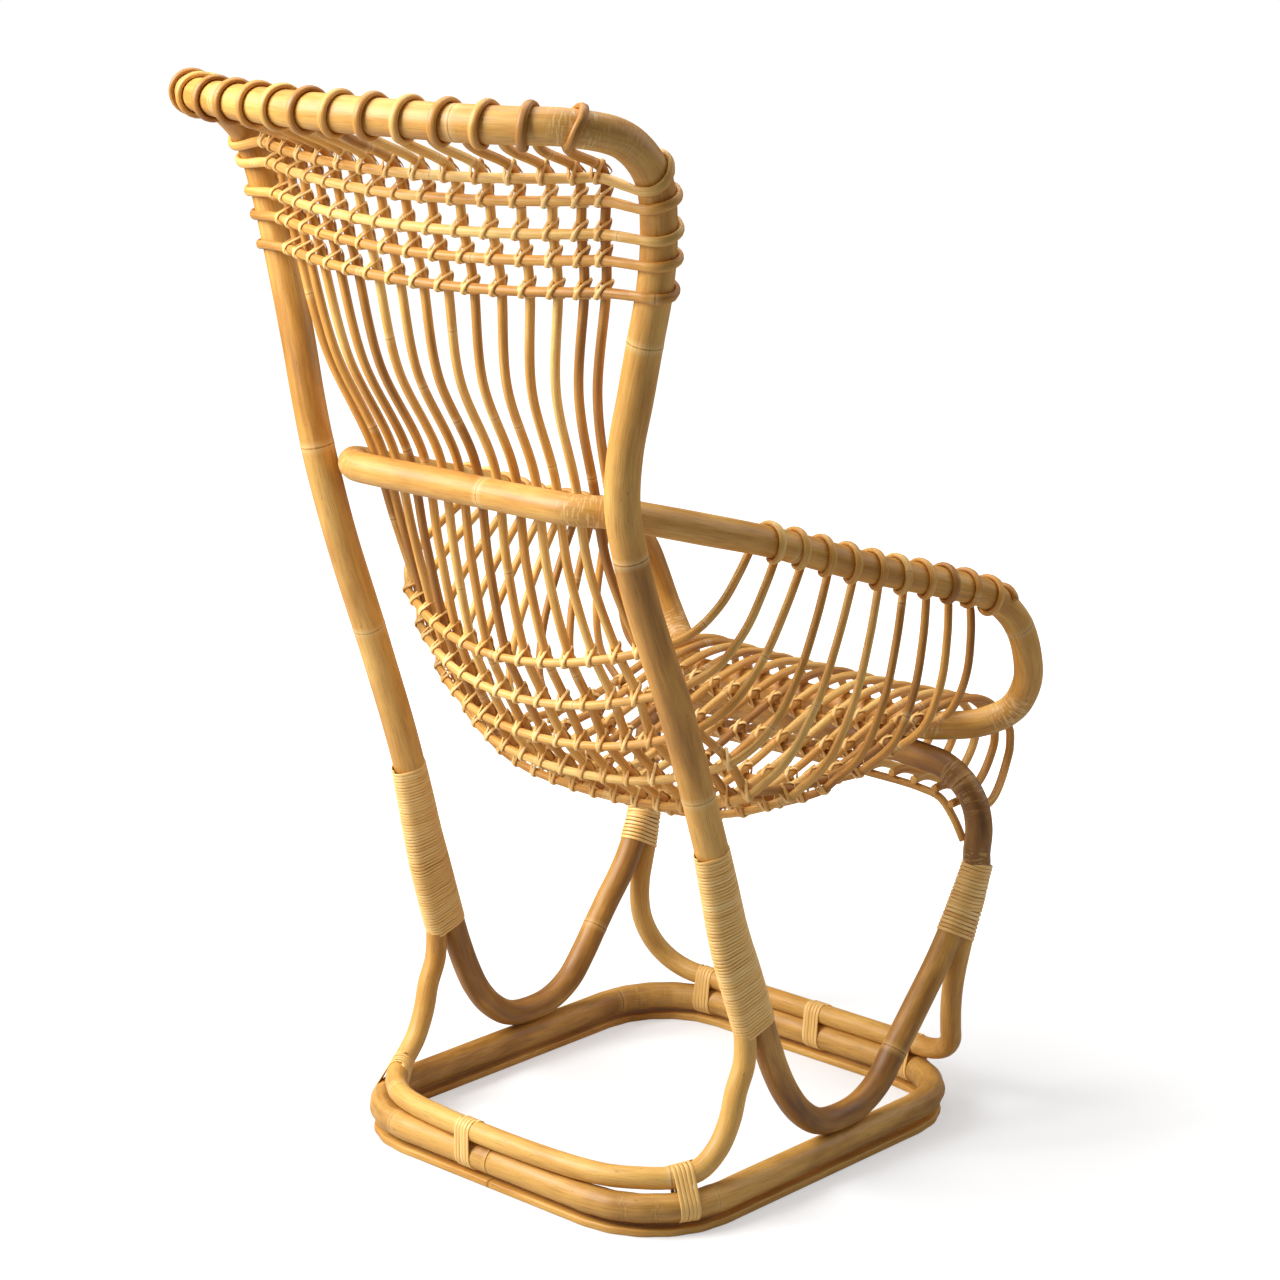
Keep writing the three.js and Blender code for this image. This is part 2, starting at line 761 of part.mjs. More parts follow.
const frontEdgeRise = 0.004;
const shellRows = shellShares.length;

function shellColumn(place) {
  return smoothRow([...shellShares.map(place), place(null)]);
}

function smoothRow(points) {
  return new THREE.CatmullRomCurve3(points, false, 'catmullrom');
}

const shellEdge = shellColumn((row) => (row
  ? new THREE.Vector3(row[0] * frameHalfWidth, row[1] * frameReach, row[2] * frameHeight)
  : new THREE.Vector3(
    shellShares[shellRows - 1][0] * frameHalfWidth,
    frontRailBack,
    frontCaneHeight + frontEdgeRise * frameHeight,
  )));
const shellMiddle = shellColumn((row) => (row
  ? new THREE.Vector3(0, row[3] * frameReach, row[4] * frameHeight)
  : new THREE.Vector3(0, frontRailBack, frontCaneHeight)));

// The back is curved evenly from side to side, and the seat is flatter with rounder edges
const backPower = 2;
const seatPower = 3.2;
const flatRow = 12;

// A point of the shell: its row, and its share of the half width, negative on the right
function shellPoint(row, across) {
  const edge = shellEdge.getPoint(row / shellRows);
  const middle = shellMiddle.getPoint(row / shellRows);
  const bend = clamp((row - firstCrossRow) / (flatRow - firstCrossRow), 0, 1);
  const power = lerp(backPower, seatPower, bend);
  const point = new THREE.Vector3().lerpVectors(middle, edge, Math.abs(across) ** power);
  return point.setX(across * edge.x);
}

const slopeStep = 0.01;

// The shell's normal, away from the sitter
function shellNormal(row, across) {
  const down = shellPoint(row + slopeStep, across).sub(shellPoint(row - slopeStep, across));
  const left = shellPoint(row, across + slopeStep).sub(shellPoint(row, across - slopeStep));
  return left.cross(down).normalize();
}

function outsideShell(row, across, distance) {
  return shellPoint(row, across).addScaledVector(shellNormal(row, across), distance);
}

const directionStep = 4;

function pathDirection(path, measure, wanted) {
  const before = pointWhere(path, measure, wanted - directionStep);
  return directionTo(before, pointWhere(path, measure, wanted + directionStep));
}

// A turn of cane round a pole: the cane comes straight from a point, goes over the pole from its facing
// side and ends beside itself. It starts where the measure of the pole's path has the wanted size, and
// drifts along the pole with the given power of the turn.
function turnRound({
  path, measure, wanted, facing, over, from, poleRadius, caneRadius, end, drift, power, steps,
}) {
  const radius = (poleRadius + caneRadius + clearance) / Math.cos(end / (2 * steps));
  const frameAt = (place) => {
    const centre = pointWhere(path, measure, place);
    const along = pathDirection(path, measure, place);
    const face = facing.clone().addScaledVector(along, -facing.dot(along)).normalize();
    const side = over.clone().addScaledVector(along, -over.dot(along));
    side.addScaledVector(face, -side.dot(face)).normalize();
    return { centre, face, side };
  };
  const { centre, face, side } = frameAt(wanted);
  const reach = new THREE.Vector3().subVectors(from, centre);
  const distance = Math.max(Math.hypot(reach.dot(face), reach.dot(side)), radius);
  const start = Math.atan2(reach.dot(side), reach.dot(face)) + Math.acos(radius / distance);
  const stations = [];
  for (let i = 0; i <= steps; i += 1) {
    const angle = lerp(start, end, i / steps);
    const here = frameAt(wanted + drift * (i / steps) ** power);
    stations.push(here.centre
      .addScaledVector(here.face, radius * Math.cos(angle))
      .addScaledVector(here.side, radius * Math.sin(angle)));
  }
  return stations;
}

// Least gap between two parts of one cane that are well apart along it
const apartShare = 12;

function caneGap(stations, radius) {
  const parts = 4;
  const points = [];
  for (let i = 0; i + 1 < stations.length; i += 1) {
    for (let k = 0; k < parts; k += 1) {
      points.push(new THREE.Vector3().lerpVectors(stations[i], stations[i + 1], k / parts));
    }
  }
  const apart = radius * apartShare;
  let least = Infinity;
  for (let i = 0; i < points.length; i += 1) {
    let along = 0;
    for (let j = i + 1; j < points.length; j += 1) {
      along += points[j].distanceTo(points[j - 1]);
      if (along > apart) least = Math.min(least, points[i].distanceTo(points[j]));
    }
  }
  return least - 2 * radius;
}

function addCane(name, stations, radius) {
  addPiece(name, pole(stations, radius, caneSides), caneMaterial);
  return caneGap(stations, radius);
}

function pieceNumber(index) {
  return String(index + 1).padStart(2, '0');
}

const backDirection = new THREE.Vector3(0, 1, 0);

// Warp canes: a turn round the top rail, down the back, along the seat, over the front rail and under it
const topTurnShares = [1.2, -1.1];
const earTurnPower = 3;
const topTurnEnd = 320 * degree;
const warpDrift = 2 * warpRadius + turnGap;
const headRows = [];
for (let i = 0; i < headCount; i += 1) {
  headRows.push(lerp(firstHeadRow, lastHeadRow, i / (headCount - 1)));
}
const warpRows = [topRow, ...headRows, bulgeRow, armRow, lowerArmRow];
for (let row = firstCrossRow; row < firstCrossRow + crossCount; row += 1) warpRows.push(row);
const curlShares = [[0.1125, 0.001], [0.22, 0.0155], [0.2775, 0.047]];
const curlFrontShare = 0.2625;
const curlInnerShare = 0.155;
const curlRestShare = 0.035;
const curlTipShare = 0.02;
const curlDropShare = 0.013;
const tipReachShare = 0.84;
const tipOffset = stripRadius + warpRadius + clearance;

function tipPlace(across) {
  const share = Math.abs(across) * tipReachShare;
  const point = stripHalfCurve.getPointAt(share);
  const tangent = stripHalfCurve.getTangentAt(share);
  const place = new THREE.Vector3(point.x - tangent.z * tipOffset, 0, point.z + tangent.x * tipOffset);
  return across < 0 ? flipped(place) : place;
}

function warpStations(index) {
  const across = acrossShare(index);
  const shell = warpRows.map((row) => shellPoint(row, across));
  const inwards = Math.sign(across) * Math.abs(across) ** earTurnPower;
  const turn = turnRound({
    path: railPath,
    measure: (point) => railPlaces.get(point) - railMiddle,
    wanted: lerp(...topTurnShares, index / (warpCount - 1)) * frameHalfWidth,
    facing: new THREE.Vector3(-inwards, -1, 0).normalize(),
    over: upAxis,
    from: shell[0],
    poleRadius: hoopRadius,
    caneRadius: warpRadius,
    end: topTurnEnd,
    drift: warpDrift,
    power: 1,
    steps: turnSteps,
  });
  const rail = shellPoint(shellRows, across);
  const tip = tipPlace(across);
  const place = (x, forward, z) => new THREE.Vector3(x, frontRailBack - forward * frameReach, z);
  const curl = curlShares.map(([forward, drop]) => place(rail.x, forward, rail.z - drop * frameHeight));
  const lowered = curl[curl.length - 1];
  lowered.x = (rail.x + tip.x) / 2;
  const innerHeight = tip.z - curlDropShare * frameHeight;
  return [
    ...turn.reverse(),
    ...shell,
    rail,
    ...curl,
    place(lowered.x, curlFrontShare, (lowered.z + innerHeight) / 2),
    place(tip.x, curlInnerShare, innerHeight),
    place(tip.x, curlRestShare, tip.z),
    place(tip.x, -curlTipShare, tip.z),
  ];
}

// The warps stand a little closer together at the edges than in the middle
const middleSpread = 0.1;
const spreadPower = 4;

function acrossShare(index) {
  const even = 1 - (2 * index) / (warpCount - 1);
  return even * (1 + middleSpread * (1 - even ** spreadPower));
}

let warpGap = Infinity;
for (let i = 0; i < warpCount; i += 1) {
  const stations = warpStations(i);
  warpGap = Math.min(warpGap, addCane(`warp_cane_${pieceNumber(i)}`, stations, warpRadius));
}
console.log(`warp canes: least gap of a cane to itself ${warpGap.toFixed(2)} mm`);

// Stations across the shell, at the outermost warps of each side and at every second one between them
const outerWarps = 4;
const acrossWarps = [];
for (let i = 0; i < warpCount; i += 1) {
  const fromEdge = Math.min(i, warpCount - 1 - i);
  if (fromEdge < outerWarps || fromEdge % 2 === 0) acrossWarps.push(i);
}

function acrossStations(row, distance) {
  return acrossWarps.map((i) => outsideShell(row, acrossShare(i), distance));
}

// Cross canes: under the seat, up each side as a spindle, and round the arm
const crossDistance = warpRadius + crossRadius + crossingGap;
const firstArmTurnShare = 0.1875;
const lastArmTurnShare = -0.525;
const armTurnEnd = 300 * degree;
const lastArmTurnEnd = 520 * degree;
const armDrift = 16;
const lastArmDrift = 30;
const edgeReachShare = 0.066;
const edgeDistanceShare = 0.6;
const spindleShares = [[0.3, 0.06, 0.08], [0.6, 0.088, 0.12], [0.86, 0.064, 0.096]];
const leftDirection = new THREE.Vector3(1, 0, 0);

function armTurn(index, from) {
  const share = lerp(firstArmTurnShare, lastArmTurnShare, index / (crossCount - 1));
  const last = index === crossCount - 1;
  return turnRound({
    path: armPath,
    measure: (point) => -point.y,
    wanted: -share * frameReach,
    facing: inwardDirection,
    over: upAxis,
    from,
    poleRadius: armRadius,
    caneRadius: crossRadius,
    end: last ? lastArmTurnEnd : armTurnEnd,
    drift: last ? lastArmDrift : armDrift,
    power: last ? 1 : 2,
    steps: last ? lastTurnSteps : turnSteps,
  });
}

let crossGap = Infinity;
for (let i = 0; i < crossCount; i += 1) {
  const row = firstCrossRow + i;
  const under = acrossStations(row, crossDistance);
  const edge = outsideShell(row, 1 + edgeReachShare, crossDistance * edgeDistanceShare);
  const turn = armTurn(i, edge);
  const [armEnd] = turn;
  const spindle = spindleShares.map(([share, backBulge, frontBulge]) => new THREE.Vector3()
    .lerpVectors(armEnd, edge, share)
    .addScaledVector(leftDirection, frameHalfWidth * lerp(backBulge, frontBulge, i / (crossCount - 1))));
  const leftEnd = [...turn.reverse(), ...spindle, edge];
  const stations = [...leftEnd, ...under, ...leftEnd.map(flipped).reverse()];
  crossGap = Math.min(crossGap, addCane(`cross_cane_${pieceNumber(i)}`, stations, crossRadius));
}
console.log(`cross canes: least gap of a cane to itself ${crossGap.toFixed(2)} mm`);

// Head canes: across the back below the top rail, and round the posts
const headDistance = warpRadius + headRadius + headCrossingGap;
const postTurnEnd = 290 * degree;
const headDrift = 2 * headRadius + turnGap;

function postTurn(from) {
  return turnRound({
    path: hoopPath,
    measure: (point) => -point.z,
    wanted: -from.z,
    facing: backDirection,
    over: leftDirection,
    from,
    poleRadius: hoopRadius,
    caneRadius: headRadius,
    end: postTurnEnd,
    drift: -headDrift,
    power: 1,
    steps: turnSteps,
  });
}

let headGap = Infinity;
for (let i = 0; i < headCount; i += 1) {
  const under = acrossStations(headRows[i], headDistance);
  const leftEnd = postTurn(under[0]).reverse();
  const stations = [...leftEnd, ...under, ...leftEnd.map(flipped).reverse()];
  headGap = Math.min(headGap, addCane(`head_cane_${pieceNumber(i)}`, stations, headRadius));
}
console.log(`head canes: least gap of a cane to itself ${headGap.toFixed(2)} mm`);

const wholeMiddle = new THREE.Box3().setFromObject(chair).getCenter(new THREE.Vector3());
chair.traverse((node) => {
  if (node.isMesh) node.geometry.translate(-wholeMiddle.x, -wholeMiddle.y, 0);
});
console.log(`origin: ${wholeMiddle.y.toFixed(2)} mm behind the middle of the base`);

export default chair;
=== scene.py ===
# Rattan lounge chair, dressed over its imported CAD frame. Metres, +Z up, and the sitter faces -Y.
import math
import random

import bmesh
import bpy
import numpy as np
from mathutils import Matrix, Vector
from mathutils.kdtree import KDTree


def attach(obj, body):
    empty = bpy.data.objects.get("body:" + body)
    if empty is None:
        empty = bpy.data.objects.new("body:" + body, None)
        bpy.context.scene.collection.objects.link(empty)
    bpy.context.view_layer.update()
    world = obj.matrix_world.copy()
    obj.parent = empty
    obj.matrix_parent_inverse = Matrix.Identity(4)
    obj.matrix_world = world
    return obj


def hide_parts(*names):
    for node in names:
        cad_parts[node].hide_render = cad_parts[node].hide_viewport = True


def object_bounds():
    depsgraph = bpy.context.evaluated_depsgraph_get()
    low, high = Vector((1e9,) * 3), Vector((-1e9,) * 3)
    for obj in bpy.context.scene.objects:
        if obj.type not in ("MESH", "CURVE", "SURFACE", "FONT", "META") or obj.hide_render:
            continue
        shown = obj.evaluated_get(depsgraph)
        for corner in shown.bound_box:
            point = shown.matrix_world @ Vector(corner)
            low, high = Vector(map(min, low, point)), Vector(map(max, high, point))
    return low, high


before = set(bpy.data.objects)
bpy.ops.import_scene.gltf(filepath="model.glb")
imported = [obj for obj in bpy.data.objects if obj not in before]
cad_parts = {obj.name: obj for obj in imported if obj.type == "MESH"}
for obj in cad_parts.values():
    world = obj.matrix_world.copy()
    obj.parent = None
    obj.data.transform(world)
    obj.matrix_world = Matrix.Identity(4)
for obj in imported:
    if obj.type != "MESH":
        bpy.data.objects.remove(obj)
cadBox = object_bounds()
random.seed(7)
mm = 0.001
scene = bpy.context.scene


def hexColour(text):
    channels = [int(text[i:i + 2], 16) / 255 for i in (0, 2, 4)]
    linear = [c / 12.92 if c <= 0.04045 else ((c + 0.055) / 1.055) ** 2.4 for c in channels]
    return (*linear, 1.0)


def addNode(tree, kind, settings=None, inputs=None):
    # a node, its settings or a ramp's stops, and each input as a value or as (node, output)
    node = tree.nodes.new(kind)
    for key, value in (settings or {}).items():
        if key != "stops":
            setattr(node, key, value)
            continue
        elements = node.color_ramp.elements
        elements.remove(elements[-1])
        elements[0].position, elements[0].color = value[0]
        for place, colour in value[1:]:
            elements.new(place).color = colour
    for socket, source in (inputs or {}).items():
        if isinstance(source, tuple) and isinstance(source[0], bpy.types.Node):
            tree.links.new(source[0].outputs[source[1]], node.inputs[socket])
        else:
            node.inputs[socket].default_value = source
    return node


def grey(value):
    return (value, value, value, 1.0)


# the noises that rattan is drawn with: detail and roughness of each
grainKinds = {
    "patch": (3.0, 0.55), "streak": (4.0, 0.6), "fibre": (3.0, 0.6), "speck": (2.0, 0.5),
    "crack": (2.0, 0.5),
}


def makeRattan(name, look):
    # long fine vessels, blotches, specks and a dark line at each node
    material = bpy.data.materials.new(name)
    material.use_nodes = True
    tree = material.node_tree
    tree.nodes.clear()
    place = addNode(tree, "ShaderNodeAttribute", {"attribute_name": "rodPlace"})
    grain = {}
    for kind, (detail, rough) in grainKinds.items():
        across, along = look[kind + "AcrossMm"] * mm, look[kind + "AlongMm"] * mm
        mapping = addNode(tree, "ShaderNodeMapping", {}, {
            "Vector": (place, "Vector"), "Scale": (1 / across, 1 / across, 1 / along),
        })
        grain[kind] = addNode(tree, "ShaderNodeTexNoise", {}, {
            "Vector": (mapping, "Vector"), "Scale": 1.0, "Detail": detail, "Roughness": rough,
        })

    # each rod has its own tone, from the pale to the ripe side
    tone = addNode(tree, "ShaderNodeAttribute", {"attribute_name": "rodTone"})
    shade = addNode(tree, "ShaderNodeMath", {"operation": "MULTIPLY_ADD"}, {
        0: (grain["patch"], "Fac"), 1: look["patchStrength"], 2: (tone, "Fac"),
    })
    streaked = addNode(tree, "ShaderNodeMath", {"operation": "MULTIPLY_ADD"}, {
        0: (grain["streak"], "Fac"), 1: look["streakStrength"], 2: (shade, "Value"),
    })
    centre = (look["patchStrength"] + look["streakStrength"]) / 2
    stops = [
        (centre - look["toneReach"], hexColour(look["dark"])), (centre, hexColour(look["middle"])),
        (centre + look["toneReach"], hexColour(look["pale"])),
    ]
    base = addNode(tree, "ShaderNodeValToRGB", {"stops": stops}, {"Fac": (streaked, "Value")})

    # vessels: thin darker lines along the rod
    stops = [(0.36, grey(1.0)), (0.5, grey(0.0))]
    vessels = addNode(tree, "ShaderNodeValToRGB", {"stops": stops}, {
        "Fac": (grain["fibre"], "Fac"),
    })
    vesselShare = addNode(tree, "ShaderNodeMath", {"operation": "MULTIPLY"}, {
        0: (vessels, "Color"), 1: look["vesselStrength"],
    })
    lined = addNode(tree, "ShaderNodeMix", {"data_type": "RGBA"}, {
        0: (vesselShare, "Value"), 6: (base, "Color"), 7: hexColour(look["vessel"]),
    })

    # small brown specks
    stops = [(0.7, grey(0.0)), (0.76, grey(look["speckStrength"]))]
    specks = addNode(tree, "ShaderNodeValToRGB", {"stops": stops}, {"Fac": (grain["speck"], "Fac")})
    specked = addNode(tree, "ShaderNodeMix", {"data_type": "RGBA"}, {
        0: (specks, "Color"), 6: (lined, 2), 7: hexColour(look["vessel"]),
    })

    # nodes: a dark line with a paler ring beside it, which fade out over nodeReachMm
    gap = addNode(tree, "ShaderNodeAttribute", {"attribute_name": "nodeGap"})
    wobble = addNode(tree, "ShaderNodeMath", {"operation": "MULTIPLY_ADD"}, {
        0: (grain["streak"], "Fac"), 1: look["nodeWobbleMm"] * mm, 2: (gap, "Fac"),
    })
    nearNode = addNode(tree, "ShaderNodeMath", {"operation": "DIVIDE"}, {
        0: (wobble, "Value"), 1: look["nodeReachMm"] * mm,
    })
    stops = [(0.0, grey(0.0)), (0.05, grey(0.42)), (0.1, grey(0.42)), (0.16, grey(0.0))]
    line = addNode(tree, "ShaderNodeValToRGB", {"stops": stops}, {"Fac": (nearNode, "Value")})
    stops = [(0.14, grey(0.0)), (0.2, grey(0.5)), (0.34, grey(0.3)), (0.8, grey(0.0))]
    ring = addNode(tree, "ShaderNodeValToRGB", {"stops": stops}, {"Fac": (nearNode, "Value")})
    paled = addNode(tree, "ShaderNodeMix", {"data_type": "RGBA"}, {
        0: (ring, "Color"), 6: (specked, 2), 7: hexColour(look["ring"]),
    })
    noded = addNode(tree, "ShaderNodeMix", {"data_type": "RGBA"}, {
        0: (line, "Color"), 6: (paled, 2), 7: hexColour(look["node"]),
    })

    # tight bends were heated, which browns them and opens short cracks across
    bend = addNode(tree, "ShaderNodeAttribute", {"attribute_name": "rodBend"})
    browned = addNode(tree, "ShaderNodeMath", {"operation": "MULTIPLY"}, {
        0: (bend, "Fac"), 1: look["bendBrown"],
    })
    warmed = addNode(tree, "ShaderNodeMix", {"data_type": "RGBA"}, {
        0: (browned, "Value"), 6: (noded, 2), 7: hexColour(look["dark"]),
    })
    stops = [(0.54, grey(0.0)), (0.6, grey(0.9))]
    cracks = addNode(tree, "ShaderNodeValToRGB", {"stops": stops}, {"Fac": (grain["crack"], "Fac")})
    leastBend, fullBend = look["crackBends"]
    tight = addNode(tree, "ShaderNodeMapRange", {}, {
        "Value": (bend, "Fac"), "From Min": leastBend, "From Max": fullBend,
        "To Min": 0.0, "To Max": look["crackStrength"],
    })
    crackShare = addNode(tree, "ShaderNodeMath", {"operation": "MULTIPLY"}, {
        0: (cracks, "Color"), 1: (tight, "Result"),
    })
    cracked = addNode(tree, "ShaderNodeMix", {"data_type": "RGBA"}, {
        0: (crackShare, "Value"), 6: (warmed, 2), 7: hexColour(look["ring"]),
    })

    height = addNode(tree, "ShaderNodeMath", {"operation": "MULTIPLY_ADD"}, {
        0: (grain["fibre"], "Fac"), 1: look["fibreHeight"], 2: (grain["streak"], "Fac"),
    })
    bump = addNode(tree, "ShaderNodeBump", {}, {
        "Strength": look["bumpStrength"], "Distance": look["bumpMm"] * mm,
        "Height": (height, "Value"),
    })
    stops = [(0.3, grey(look["roughLow"])), (0.7, grey(look["roughHigh"]))]
    gloss = addNode(tree, "ShaderNodeValToRGB", {"stops": stops}, {"Fac": (grain["streak"], "Fac")})
    # lacquer and the waxy skin of rattan both have an IOR of about 1.5
    surface = addNode(tree, "ShaderNodeBsdfPrincipled", {}, {
        "Base Color": (cracked, 2), "Roughness": (gloss, "Color"), "Normal": (bump, "Normal"),
        "IOR": 1.5, "Coat Weight": look["lacquer"], "Coat Roughness": 0.28, "Coat IOR": 1.5,
    })
    addNode(tree, "ShaderNodeOutputMaterial", {}, {"Surface": (surface, "BSDF")})
    return material


# peeled and lacquered poles: satin, from straw to honey. Real vessels lie under 0.4 mm apart, and
# are drawn wider here so that they show
poleLook = {
    "pale": "E9B65E", "middle": "CB903C", "dark": "956224", "vessel": "6E4416", "node": "7A4F22",
    "ring": "F0D092", "toneReach": 0.24, "patchAcrossMm": 34, "patchAlongMm": 120,
    "streakAcrossMm": 5, "streakAlongMm": 90, "fibreAcrossMm": 0.9, "fibreAlongMm": 28,
    "speckAcrossMm": 3.2, "speckAlongMm": 3.2 * 2.4, "crackAcrossMm": 12, "crackAlongMm": 1.6,
    "patchStrength": 0.75, "streakStrength": 0.34, "vesselStrength": 0.3, "speckStrength": 0.45,
    "crackStrength": 0.6, "crackBends": (0.34, 0.6), "bendBrown": 0.3, "nodeReachMm": 10,
    "nodeWobbleMm": 1.6, "fibreHeight": 0.6, "bumpStrength": 0.5, "bumpMm": 0.25,
    "roughLow": 0.44, "roughHigh": 0.62, "lacquer": 0.1,
}
# riper poles are darker and more mottled
darkPoleLook = {
    **poleLook, "pale": "D9A450", "middle": "A7732C", "dark": "6F4518", "ring": "DDB26A",
    "patchStrength": 1.0,
}
# thin canes are paler and more streaked, and bend without cracking
caneLook = {
    **poleLook, "pale": "F4CB76", "middle": "DD9F46", "dark": "A66D26", "node": "A06E30",
    "crackStrength": 0.0, "patchAcrossMm": 26, "patchAlongMm": 150, "streakAcrossMm": 2.6,
    "streakStrength": 0.5, "fibreAcrossMm": 0.7, "speckAcrossMm": 2.2, "speckAlongMm": 2.2 * 2.4,
    "lacquer": 0.12,
}
# the split peel is the shiny outer skin of the cane, so it is paler and smoother than the poles
peelLook = {
    **caneLook, "pale": "FFDF9C", "middle": "F8C977", "dark": "DC9F4C", "vessel": "A87434",
    "patchStrength": 0.35, "streakStrength": 0.28, "vesselStrength": 0.25, "speckStrength": 0.2,
    "roughLow": 0.42, "roughHigh": 0.56, "bumpStrength": 0.3,
}

rattanPole = makeRattan("peeledRattanPole", poleLook)
darkRattanPole = makeRattan("ripeRattanPole", darkPoleLook)
rattanCane = makeRattan("rattanCane", caneLook)
rattanPeel = makeRattan("splitRattanPeel", peelLook)
print("materials made")


# the middles of the faceted solids' rings, smoothed into lines
def loadLoop(nodeName):
    mesh = bmesh.new()
    mesh.from_mesh(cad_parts[nodeName].data)
    bmesh.ops.remove_doubles(mesh, verts=mesh.verts, dist=0.005 * mm)
    mesh.verts.index_update()
    return mesh


def flatPatch(face):
    # the face and those beside it that lie in its plane, as a set of corners
    patch, edge = {face}, [face]
    while edge:
        near = {other for e in edge.pop().edges for other in e.link_faces if other not in patch}
        same = [other for other in near if other.normal.dot(face.normal) > 0.999999]
        patch |= set(same)
        edge += same
    return {v for part in patch for v in part.verts}


def spreadRings(ring, sides, keep=lambda vert: True):
    # the ring's neighbours, ring after ring, for as long as each has all its corners
    seen, rings = set(ring), []
    while len(ring) == sides:
        # a set has no fixed order, and a sum in another order ends in other last digits
        corners = sorted(ring, key=lambda vert: vert.index)
        rings.append(sum((v.co for v in corners), Vector()) / sides)
        grown = {edge.other_vert(v) for v in ring for edge in v.link_edges} - seen
        ring = [v for v in grown if keep(v)]
        seen |= grown
    return rings, not ring and len(seen)


def wholeRings(mesh, sides):
    # an end face is a flat patch from which the rings run to the other end
    for face in mesh.faces:
        patch = flatPatch(face)
        if len(patch) == sides:
            rings, reached = spreadRings(patch, sides)
            if reached == len(mesh.verts):
                return rings
    return []


def rodMiddles(nodeName, sides):
    mesh = loadLoop(nodeName)
    rings = wholeRings(mesh, sides)
    mesh.free()
    return np.array(rings)


def openMiddles(nodeName, sides):
    # a rod that is whole only in the middle is followed from its middle ring outwards
    mesh = loadLoop(nodeName)
    middleRing = [v for v in mesh.verts if abs(v.co.x) < 0.05 * mm]
    halves = [
        spreadRings(middleRing, sides, lambda vert: vert.co.x * side > 0)[0] for side in (1, -1)
    ]
    mesh.free()
    left, right = halves
    return np.array(right[:0:-1] + left)


def fillStraights(points, longest):
    filled = [points[0]]
    for a, b in zip(points[:-1], points[1:]):
        parts = max(1, math.ceil(np.linalg.norm(b - a) / longest))
        filled += [a + (b - a) * (k / parts) for k in range(1, parts + 1)]
    return np.array(filled)


def smoothLine(points, step, dense=14):
    # a centripetal curve through the points, as points that are one step apart
    points = np.asarray(points, float)
    ends = np.vstack([2 * points[0] - points[1], points, 2 * points[-1] - points[-2]])
    pieces = []
    for i in range(1, len(ends) - 2):
        p = ends[i - 1:i + 3]
        spans = np.maximum(np.linalg.norm(np.diff(p, axis=0), axis=1), 1e-9)
        knots = np.concatenate([[0], np.cumsum(spans ** 0.5)])
        t = np.linspace(knots[1], knots[2], dense, endpoint=False)[:, None]
        a = [
            (knots[k + 1] - t) / (knots[k + 1] - knots[k]) * p[k]
            + (t - knots[k]) / (knots[k + 1] - knots[k]) * p[k + 1] for k in range(3)
        ]
        b = [
            (knots[k + 2] - t) / (knots[k + 2] - knots[k]) * a[k]
            + (t - knots[k]) / (knots[k + 2] - knots[k]) * a[k + 1] for k in range(2)
        ]
        share = (t - knots[1]) / (knots[2] - knots[1])
        pieces.append((knots[2] - t) / (knots[2] - knots[1]) * b[0] + share * b[1])
    fine = np.vstack(pieces + [points[-1:]])
    along = lengthsAlong(fine)
    return resample(fine, along, np.linspace(0, along[-1], max(2, round(along[-1] / step)) + 1))


def resample(line, along, wanted):
    return np.stack([np.interp(wanted, along, line[:, k]) for k in range(3)], axis=1)


def lengthsAlong(line):
    return np.concatenate([[0], np.cumsum(np.linalg.norm(np.diff(line, axis=0), axis=1))])


def unit(vectors):
    return vectors / np.maximum(np.linalg.norm(vectors, axis=-1, keepdims=True), 1e-12)


def lineFrames(line):
    # tangents, and a side direction that turns as little as it can
    tangents = unit(np.gradient(line, axis=0))
    first = np.cross(tangents[0], (0.0, 0.0, 1.0))
    if np.linalg.norm(first) < 0.1:
        first = np.cross(tangents[0], (1.0, 0.0, 0.0))
    sides = [unit(first)]
    for tangent in tangents[1:]:
        side = sides[-1] - tangent * np.dot(sides[-1], tangent)
        sides.append(unit(side))
    sides = np.array(sides)
    return tangents, sides, np.cross(tangents, sides)


def makeTree(points):
    tree = KDTree(len(points))
    for index, point in enumerate(points):
        tree.insert(point, index)
    tree.balance()
    return tree


# a grid is wrapped into a tube, and its seam and ends are closed
valueKinds = {
    "rodPlace": "float_vector", "nodeGap": "float", "rodBend": "float", "rodTone": "float",
}
plainValues = {"nodeGap": 1.0, "rodBend": 0.0, "rodTone": 0.0}


def newTubes():
    mesh = bmesh.new()
    for key, kind in valueKinds.items():
        getattr(mesh.verts.layers, kind).new(key)
    return mesh


def layTube(mesh, rings, values, closed=False):
    # rings of corners, and for each value one number a ring or one entry a corner
    rings = np.asarray(rings)
    count, sides = rings.shape[:2]
    layers = {key: getattr(mesh.verts.layers, kind)[key] for key, kind in valueKinds.items()}
    rows = count + 1 if closed else count
    grid = bmesh.ops.create_grid(mesh, x_segments=sides, y_segments=rows - 1, size=1)["verts"]
    corners = [[Vector(corner) for corner in ring] for ring in rings]
    seam = []
    for index, vert in enumerate(grid):
        row, column = divmod(index, sides + 1)
        ring, corner = row % count, column % sides
        vert.co = corners[ring][corner]
        for key, layer in layers.items():
            value = values.get(key, plainValues.get(key))
            if not np.isscalar(value):
                value = value[ring * sides + corner] if len(value) == count * sides else value[ring]
            vert[layer] = value
        if column in (0, sides) or row in (0, rows - 1):
            seam.append(vert)
    return seam


